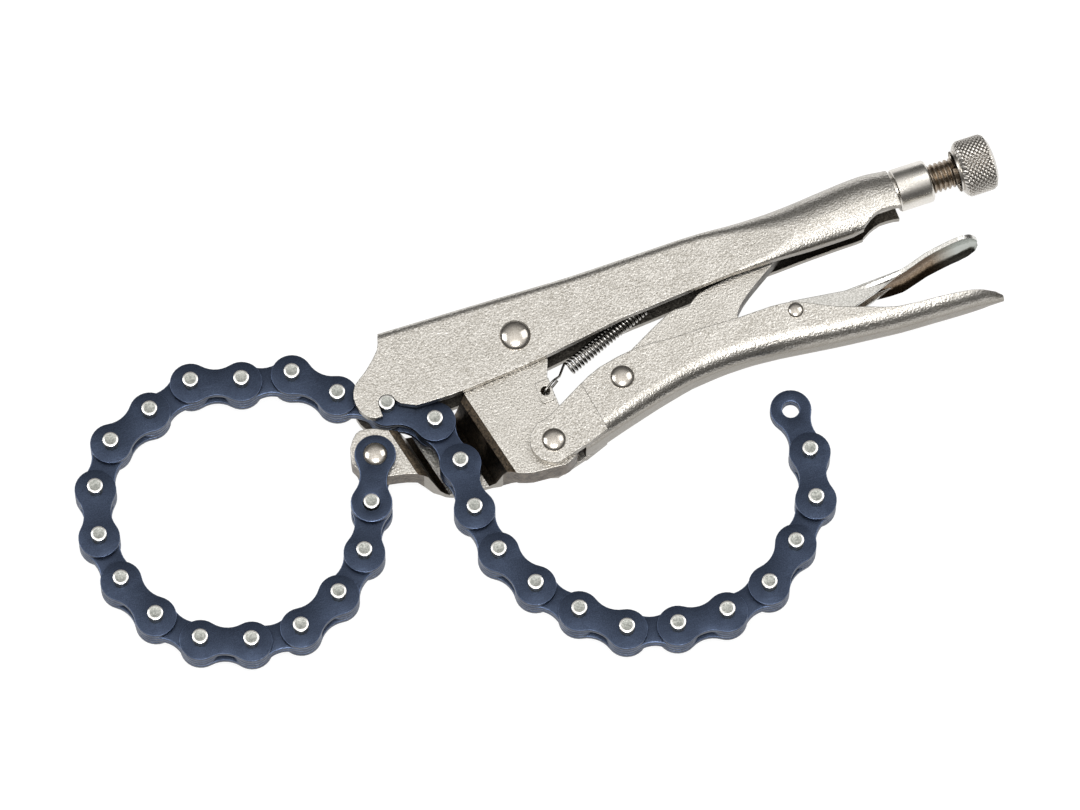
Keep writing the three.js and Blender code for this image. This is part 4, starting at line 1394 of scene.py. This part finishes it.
@dataclass(kw_only=True)
class UpperHandle(Channel):
    """The upper handle: a folded channel that rolls up into a tube. Lengths are in millimetres."""

    crown: Table = (
        (-54.7, 15.7), (-6.5, 14.6), (21, 13.8), (38.7, 14.0), (61, 14.35), (68.4, 14.2), (74.8, 13.85), (81.3, 13.95),
        (88, 14.3), (94.8, 14.9), (101.9, 15.6), (108.4, 16.2), (114.8, 16.8), (121.9, 17.1), (125.8, 16.7),
        (129, 16.2),
    )
    half: Table = ((-54.7, 7.5), (72, 7.5), (80, 7.6), (92, 7.9), (104, 8.1), (121.5, 8.1), (129, 7.6))
    corner: Table = ((-54.7, 2.6), (66, 3.0), (74, 3.6), (82, 4.8), (90, 6.4), (98, 7.2), (129, 7.4))
    foot: Table = ((-54.7, -14), (72, -14), (72.1, -2.7), (84, -2.4), (100, -2.2), (129, -1.9))
    curl: Table = ((-54.7, 0.3), (72, 0.3), (84, 0.8), (96, 2.6), (108, 3.4), (129, 3.2))
    tall: Table = ((66, 1), (84, 1.1), (98, 1.2), (129, 1.2))
    curl_tall: float = 2.6
    wall: float = 2.55
    side: Table = (
        (-40.1, 34), (149, 34), (131.3, 0.9), (129.5, 1.5), (127.1, 2.1), (124.8, 2.3), (122.6, 2.3), (120.5, 1.7),
        (118.7, 0.9), (117.3, 0), (115.9, -0.9), (115.5, -1.6), (112.2, -2), (98.7, -2.2), (85.7, -2.3), (70.6, -2.6),
        (65, -3), (57.6, -3.5), (50.3, -4.1), (43.2, -4.7), (37.6, -5.1), (32.4, -5.6), (27.3, -6.4), (21.6, -7.3),
        (14.2, -8.4), (6.5, -9.5), (-0.2, -10.2), (-6.5, -10.8), (-12.9, -11.3), (-18.7, -11.8), (-25.9, -12.1),
        (-31.4, -12), (-36.7, -11.8), (-43.2, -11.6), (-49.7, -11.8), (-50.8, -11.4), (-52.2, -10.6), (-53.2, -9.3),
        (-54, -7.6), (-54.5, -5.6), (-54.5, -3.4), (-53.9, -1.3), (-52.7, 0.7), (-50.6, 2.3), (-48, 4.1), (-45, 6.8),
        (-42.5, 9.5), (-41.5, 11.6), (-41, 13.3), (-40.4, 15.1), (-40.1, 16.4),
    )
    hook: Table = (
        (-37, -14.4), (-37, -11.6), (-41.1, -9.6), (-42.4, -7.9), (-42.6, -6.8), (-43.2, -6), (-44.1, -5.4),
        (-45.1, -5.2), (-46.2, -5.4), (-47, -6), (-47.6, -6.8), (-47.8, -7.9), (-47.8, -14.4),
    )
    lug: Pair = (48.25, 0.76)
    lug_radius: float = 1.2
    lug_half: float = 6.6
    pivot_radius: float = 3.05
    front: float = -54.7
    flat_end: float = 71.9
    tube_start: float = 72.1
    rear: float = 129.0
    flat_step: float = 6
    tube_step: float = 1.6

    def build(self) -> None:
        """Lofts, cuts and dresses the handle."""
        flat = spaced(self.front, self.flat_end, self.flat_step)
        tube = spaced(self.tube_start, self.rear, self.tube_step)
        bm = carve(
            self.mesh(flat + tube),
            [
                (prism(self.side, THROUGH), "INTERSECT"),
                (prism(self.hook, THROUGH), "DIFFERENCE"),
                (rod((0, 0), self.pivot_radius, THROUGH), "DIFFERENCE"),
                (rod(self.lug, self.lug_radius, self.lug_half), "UNION"),
            ],
        )
        dress_sheet(bm, "pressed_upper_handle", "upper_handle", [NICKEL, INSIDE_PAINTED_SHADE])


@dataclass(kw_only=True)
class LowerHandle(Channel):
    """The lower handle: a channel that opens upward, with a fork in front. Lengths are in millimetres."""

    crown: Table = (
        (10.1, 41.7), (13.8, 40.4), (24, 37.4), (36.1, 34.1), (47.5, 31.5), (58.9, 30.5), (67.9, 30.5), (77, 31.2),
        (96.2, 33.6), (116, 35.5), (135.9, 36.2), (145.9, 36.5), (150.3, 36.7),
    )
    half: Table = ((9, 7.1), (135.3, 7.1), (141.3, 6.9), (145, 6.1), (148, 4.7), (150, 2.6))
    corner: Table = ((9, 4.2), (40, 4.6), (70, 5.4), (150, 5.6))
    foot: Table = ((9, 7.9), (150, 7.9))
    curl: Table = ((9, 0.3), (150, 0.3))
    wall: float = 2.3
    flip: int = -1
    spread: float = 2.0
    side: Table = (
        (150.3, -36.3), (150.1, -36.1), (149.8, -35.7), (149.4, -35.3), (148.6, -34.8), (147.7, -34.2),
        (146.1, -33.7), (143.8, -32.9), (140.4, -32.1), (135.4, -31.5), (129.6, -31), (122.9, -30.6), (116.6, -29.9),
        (112.3, -28.7), (108.4, -27.2), (103.5, -25.5), (99, -23.9), (96.2, -22.6), (93.8, -21.4), (90.6, -19.7),
        (87.3, -18.2), (84.7, -17.4), (82.1, -17.1), (78.9, -16.9), (72.3, -17), (68.5, -17.1), (57.1, -16.7),
        (50.3, -16.7), (43.7, -16.6), (39.3, -16.2), (34.9, -16.1), (28, -17), (21.3, -18.5), (17, -20.2),
        (13.5, -22.1), (10, -24), (6.8, -25.8), (3.7, -27.4), (1.5, -28.6), (-1.3, -29.3), (-3.8, -30.2),
        (-5.8, -31.9), (-7.1, -34.2), (-7.5, -36.8), (-7, -39.4), (-5.6, -41.7), (-3.5, -43.3), (-1, -44.1),
        (2.7, -43.2), (9, -41.4), (9, -64.6), (150.5, -64.6),
    )
    cheek: Table = (
        (0, -29.2), (-3.2, -29.9), (-6.0, -32.2), (-7.4, -35.2), (-7.4, -38.4), (-6.0, -41.2), (-3.2, -43.5),
        (-1, -44.2), (2.7, -43.15), (9.9, -41.35), (17.1, -38.6), (10.8, -0.9), (0, -0.9),
    )
    pin_radius: float = 2.55
    release_radius: float = 1.65
    cheek_half: float = 1.275
    cheek_middle: float = 6.225
    front: float = 9.02
    flat_end: float = 140
    tip_start: float = 141
    rear: float = 149.8
    flat_step: float = 3
    tip_step: float = 0.8

    def cheeks(self) -> bmesh.types.BMesh:
        """Makes the two joggled cheeks of the fork.

        Returns:
            One mesh of both.
        """
        bm = bmesh.new()
        for side in (-1, 1):
            plate = prism(self.cheek, self.cheek_half)
            bmesh.ops.translate(plate, verts=plate.verts, vec=(0, 0, side * self.cheek_middle))
            add_mesh(bm, plate)
        return bm

    def build(self) -> None:
        """Lofts, cuts and dresses the handle."""
        flat = spaced(self.front, self.flat_end, self.flat_step)
        tip = spaced(self.tip_start, self.rear, self.tip_step)
        bm = carve(
            self.mesh(flat + tip),
            [
                (self.cheeks(), "UNION"),
                (prism(self.side, THROUGH), "INTERSECT"),
                (rod(FORK_PIN, self.pin_radius, THROUGH), "DIFFERENCE"),
                (rod(KNEE_PIN, self.pin_radius, THROUGH), "DIFFERENCE"),
                (rod(RELEASE_PIN, self.release_radius, THROUGH), "DIFFERENCE"),
            ],
        )
        dress_sheet(bm, "pressed_lower_handle", "lower_handle", [NICKEL, INSIDE_PAINTED_SHADE])


@dataclass(kw_only=True)
class ReleaseLever(Loft):
    """The release lever: two flanks at its rivet and a blade that droops to a round pad. Lengths are in millimetres."""

    crown: Table = (
        (89.2, -18.0), (95.1, -18.0), (104, -18.6), (112.5, -18.1), (117.4, -17.9), (121.9, -17.4), (126.3, -16.1),
        (130.8, -14.7), (134.5, -14.0), (139.7, -13.2), (143.4, -12.9), (146.4, -13.1), (148.6, -14.1),
    )
    half: Table = (
        (89.2, 3.8), (104, 4.2), (112.9, 4.9), (121.9, 6.0), (133.7, 6.3), (142.0, 6.3), (144.4, 5.9), (146.0, 5.2),
        (147.2, 4.2), (148.0, 3.1), (148.4, 2.0), (148.6, 0.9),
    )
    wall: float = 1.3
    spread: float = 0.4
    section: Table = ((1, -0.15), (0.7, -0.04), (0.3, 0), (-0.3, -0.03), (-0.7, -0.175), (-1, -0.5))
    flank: Table = (
        (103, -18.6), (85.8, -16.3), (83.6, -16.9), (82.0, -18.5), (81.4, -20.7), (82.0, -22.9), (83.6, -24.5),
        (85.8, -25.1), (100.4, -25.7), (111.5, -22.4), (120.1, -19.3), (122.7, -17.6),
    )
    flank_middle: float = 3.65
    flank_half: float = 0.65
    hole_radius: float = 1.75
    inside_step: float = 0.3
    blade_end: float = 142.0
    pad_start: float = 142.4
    blade_step: float = 1.3
    pad_step: float = 0.4

    def ring(self, at: float) -> tuple[list[Vector], int]:
        """Draws a section from the upper skin to the lower one.

        Args:
            at: Place along X.

        Returns:
            Its corners, and how many of them lie on the upper skin.
        """
        half = read(self.half, at, self.spread)
        crown = read(self.crown, at, self.spread)
        line = softened([Vector((at, crown + drop * half, share * half)) for share, drop in self.section])
        thin = (half - self.inside_step) / half
        below = [Vector((at, place.y - self.wall, place.z * thin)) for place in reversed(line)]
        return line + below, len(line)

    def build(self) -> None:
        """Lofts the blade, joins its flanks and dresses it."""
        blade = spaced(self.crown[0][0], self.blade_end, self.blade_step)
        pad = spaced(self.pad_start, self.crown[-1][0], self.pad_step)
        cuts = []
        for side in (-1, 1):
            plate = prism(self.flank, self.flank_half)
            bmesh.ops.translate(plate, verts=plate.verts, vec=(0, 0, side * self.flank_middle))
            cuts.append((plate, "UNION"))
        cuts.append((rod(RELEASE_PIN, self.hole_radius, THROUGH), "DIFFERENCE"))
        bm = carve(self.mesh(blade + pad), cuts)
        dress_sheet(bm, "pressed_release_lever", "release_lever", [LEVER, LEVER_INSIDE_PAINTED_SHADE])


@dataclass
class SheetPart:
    """A pressed sheet part that keeps its solid's shape and gets smooth bends.

    The second finish is painted shade. It lies within the inside height of the middle, in millimetres, and on the
    bends, whose normals have an upright part between the bend's low and high values.
    """

    node: str
    name: str
    finish: MetalFinish
    inside: float = 0.0
    shade_finish: MetalFinish = INSIDE_PAINTED_SHADE
    bend_low: float = 0.0
    bend_high: float = 0.0
    merge: float = 2e-6
    flat_degrees: float = 0.6
    corner_degrees: float = 32
    weight: int = 80

    def build(self) -> None:
        """Merges a copy of the solid, clears its flat faces and evens its shading."""
        bm = bmesh.new()
        bm.from_mesh(frame["nodes"][self.node].data)
        bmesh.ops.remove_doubles(bm, verts=bm.verts, dist=self.merge)
        bmesh.ops.dissolve_limit(
            bm, angle_limit=math.radians(self.flat_degrees), verts=bm.verts, edges=bm.edges,
            use_dissolve_boundaries=False,
        )
        # Faces within the inside height and on the bends get painted shade.
        for face in bm.faces:
            height = abs(face.calc_center_median().z - ORIGIN.z) / MM
            bent = self.bend_low < abs(face.normal.z) < self.bend_high
            face.material_index = int(height < self.inside or bent)
        finishes = [self.finish, self.shade_finish]
        piece = finished(bm, self.name, finishes, [self.node], None, self.corner_degrees)
        weigh_normals(piece, self.weight)


@dataclass
class Studio:
    """Floor, sky, lamps and the camera at the photo's viewing angle.

    The target is in millimetres from the main rivet, and the distance, the floor and the lamps are in metres.
    """

    target: tuple[float, float, float] = (0.743, -21.524, -0.9)
    azimuth: float = -20.04
    elevation: float = 70.01
    roll: float = 0.85
    distance: float = 2.871
    lens: float = 306.0
    sensor: float = 36
    clip: Pair = (0.1, 20)
    floor_half: float = 1.6
    floor_drop: float = 0.0002
    floor_colour: Colour = (0.8, 0.8, 0.8)
    shadow_colour: Colour = (0.22, 0.22, 0.22)
    floor_glow: float = 0.9
    sky: Table = ((-1.0, 0.30), (0.0, 0.12), (0.40, 0.08), (0.64, 0.17), (0.82, 0.48), (0.93, 0.76), (1.0, 1.0))
    sky_tint: Colour = (1, 0.985, 0.96)
    sky_strength: float = 1.25
    lamps: tuple[tuple[str, Colour, float, float], ...] = (
        ("soft_left", (-0.9, 0.5, 1.1), 0.7, 5.0),
        ("soft_right", (0.9, 0.2, 1.2), 0.7, 3.0),
        ("soft_front", (-0.15, -0.55, 1.5), 0.6, 9.0),
    )

    def camera(self) -> None:
        """Places the camera with its turn and roll."""
        turn, tilt, roll = (math.radians(value) for value in (self.azimuth, self.elevation, self.roll))
        back = Vector((math.cos(tilt) * math.sin(turn), -math.cos(tilt) * math.cos(turn), math.sin(tilt)))
        right = Vector((math.cos(turn), math.sin(turn), 0))
        up = back.cross(right)
        side = right * math.cos(roll) + up * math.sin(roll)
        top = up * math.cos(roll) - right * math.sin(roll)
        data = bpy.data.cameras.new("photo_camera")
        data.lens = self.lens
        data.sensor_width = self.sensor
        data.clip_start, data.clip_end = self.clip
        camera = bpy.data.objects.new("photo_camera", data)
        bpy.context.scene.collection.objects.link(camera)
        place = PLACE @ Vector(self.target) + back * self.distance
        camera.matrix_world = Matrix.Translation(place) @ Matrix((side, top, back)).transposed().to_4x4()
        bpy.context.scene.camera = camera

    def seen(self, graph: Graph, *kinds: str) -> Socket:
        """Tells the rays that show a thing from those that light by it.

        Args:
            graph: The tree to build in.
            kinds: The kinds of ray that show it, besides the camera's.

        Returns:
            One for such a ray.
        """
        path = graph.add("ShaderNodeLightPath")
        seen = path.outputs["Is Camera Ray"]
        for kind in kinds:
            seen = graph.math("MAXIMUM", seen, path.outputs[f"Is {kind} Ray"])
        return seen

    def floor(self) -> None:
        """Lays a white floor that keeps a faint shadow."""
        bm = bmesh.new()
        bmesh.ops.create_grid(bm, x_segments=2, y_segments=2, size=self.floor_half)
        mesh = bpy.data.meshes.new("floor")
        bm.to_mesh(mesh)
        bm.free()
        floor = bpy.data.objects.new("floor", mesh)
        floor.location.z = -self.floor_drop
        bpy.context.scene.collection.objects.link(floor)
        material = bpy.data.materials.new("white_floor")
        material.use_nodes = True
        tree = material.node_tree
        tree.nodes.clear()
        graph = Graph(tree)
        plain = graph.add("ShaderNodeBsdfDiffuse", Color=(*self.floor_colour, 1))
        faint = graph.add("ShaderNodeBsdfDiffuse", Color=(*self.shadow_colour, 1))
        glow = graph.add("ShaderNodeEmission", Color=(1, 1, 1, 1), Strength=self.floor_glow)
        both = graph.add("ShaderNodeAddShader")
        graph.join(faint.outputs[0], both.inputs[0])
        graph.join(glow.outputs[0], both.inputs[1])
        graph.mix_shaders(self.seen(graph, "Transmission", "Glossy"), plain, both, "ShaderNodeOutputMaterial")
        mesh.materials.append(material)

    def world(self) -> None:
        """Hangs a sky that is bright overhead and dim round the sides."""
        world = bpy.data.worlds.new("studio")
        bpy.context.scene.world = world
        world.use_nodes = True
        tree = world.node_tree
        tree.nodes.clear()
        graph = Graph(tree)
        height = graph.part(graph.add("ShaderNodeTexCoord").outputs["Generated"], "Z")
        ramp = graph.add("ShaderNodeValToRGB")
        ramp.color_ramp.interpolation = "EASE"
        ramp.color_ramp.elements.remove(ramp.color_ramp.elements[1])
        for index, (level, light) in enumerate(self.sky):
            share = (level + 1) / 2
            stop = ramp.color_ramp.elements[0] if index == 0 else ramp.color_ramp.elements.new(share)
            stop.position = share
            stop.color = (*(light * tint for tint in self.sky_tint), 1)
        graph.join(graph.remap(height, -1, 1, 0, 1), ramp.inputs[0])
        studio = graph.add("ShaderNodeBackground", Strength=self.sky_strength)
        graph.join(ramp.outputs[0], studio.inputs["Color"])
        white = graph.add("ShaderNodeBackground", Color=(1, 1, 1, 1), Strength=1.0)
        graph.mix_shaders(self.seen(graph, "Transmission"), studio, white, "ShaderNodeOutputWorld")

    def lamp(self, name: str, place: tuple[float, float, float], size: float, watts: float) -> None:
        """Hangs a square lamp that faces the clamp.

        Args:
            name: Its name.
            place: Its place, in metres from the main rivet.
            size: Its side in metres.
            watts: Its power.
        """
        data = bpy.data.lights.new(name, "AREA")
        data.size = size
        data.energy = watts
        lamp = bpy.data.objects.new(name, data)
        bpy.context.scene.collection.objects.link(lamp)
        lamp.location = ORIGIN + Vector(place)
        lamp.rotation_mode = "QUATERNION"
        lamp.rotation_quaternion = Vector(place).to_track_quat("Z", "Y")

    def build(self) -> None:
        """Builds the whole studio."""
        self.camera()
        self.floor()
        self.world()
        for lamp in self.lamps:
            self.lamp(*lamp)
        bpy.context.scene.view_settings.view_transform = "Standard"


def corners(bounds: tuple[Vector, Vector]) -> list[list[float]]:
    """Returns a box as plain lists of numbers."""
    return [[float(value) for value in corner] for corner in bounds]


def main() -> None:
    """Builds every piece in order."""
    logging.basicConfig(level=logging.INFO, format="%(message)s")
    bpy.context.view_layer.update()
    Studio().build()
    UpperHandle().build()
    LowerHandle().build()
    SheetPart("lower_jaw", "pressed_jaw", NICKEL, inside=2.2, shade_finish=BEND_PAINTED_SHADE, bend_low=0.3, bend_high=0.97).build()
    SheetPart("toggle_link", "pressed_link", NICKEL, inside=1.5).build()
    ReleaseLever().build()
    Chain().build()
    for rivet in (
        Rivet("jaw_rivet", 0, 0, radius=4.95, seat=7.65),
        Rivet("lever_pivot_rivet", *FORK_PIN, radius=3.8, seat=7.65),
        Rivet("link_pivot_rivet", *KNEE_PIN, radius=3.8, seat=7.25),
        Rivet("release_rivet", *RELEASE_PIN, radius=2.5, seat=7.25),
        Rivet("chain_rivet", -54, -22.6, radius=3.8, seat=6.6),
    ):
        rivet.build()
    Screw().build()
    Spring().build()


if __name__ == "__main__":
    main()
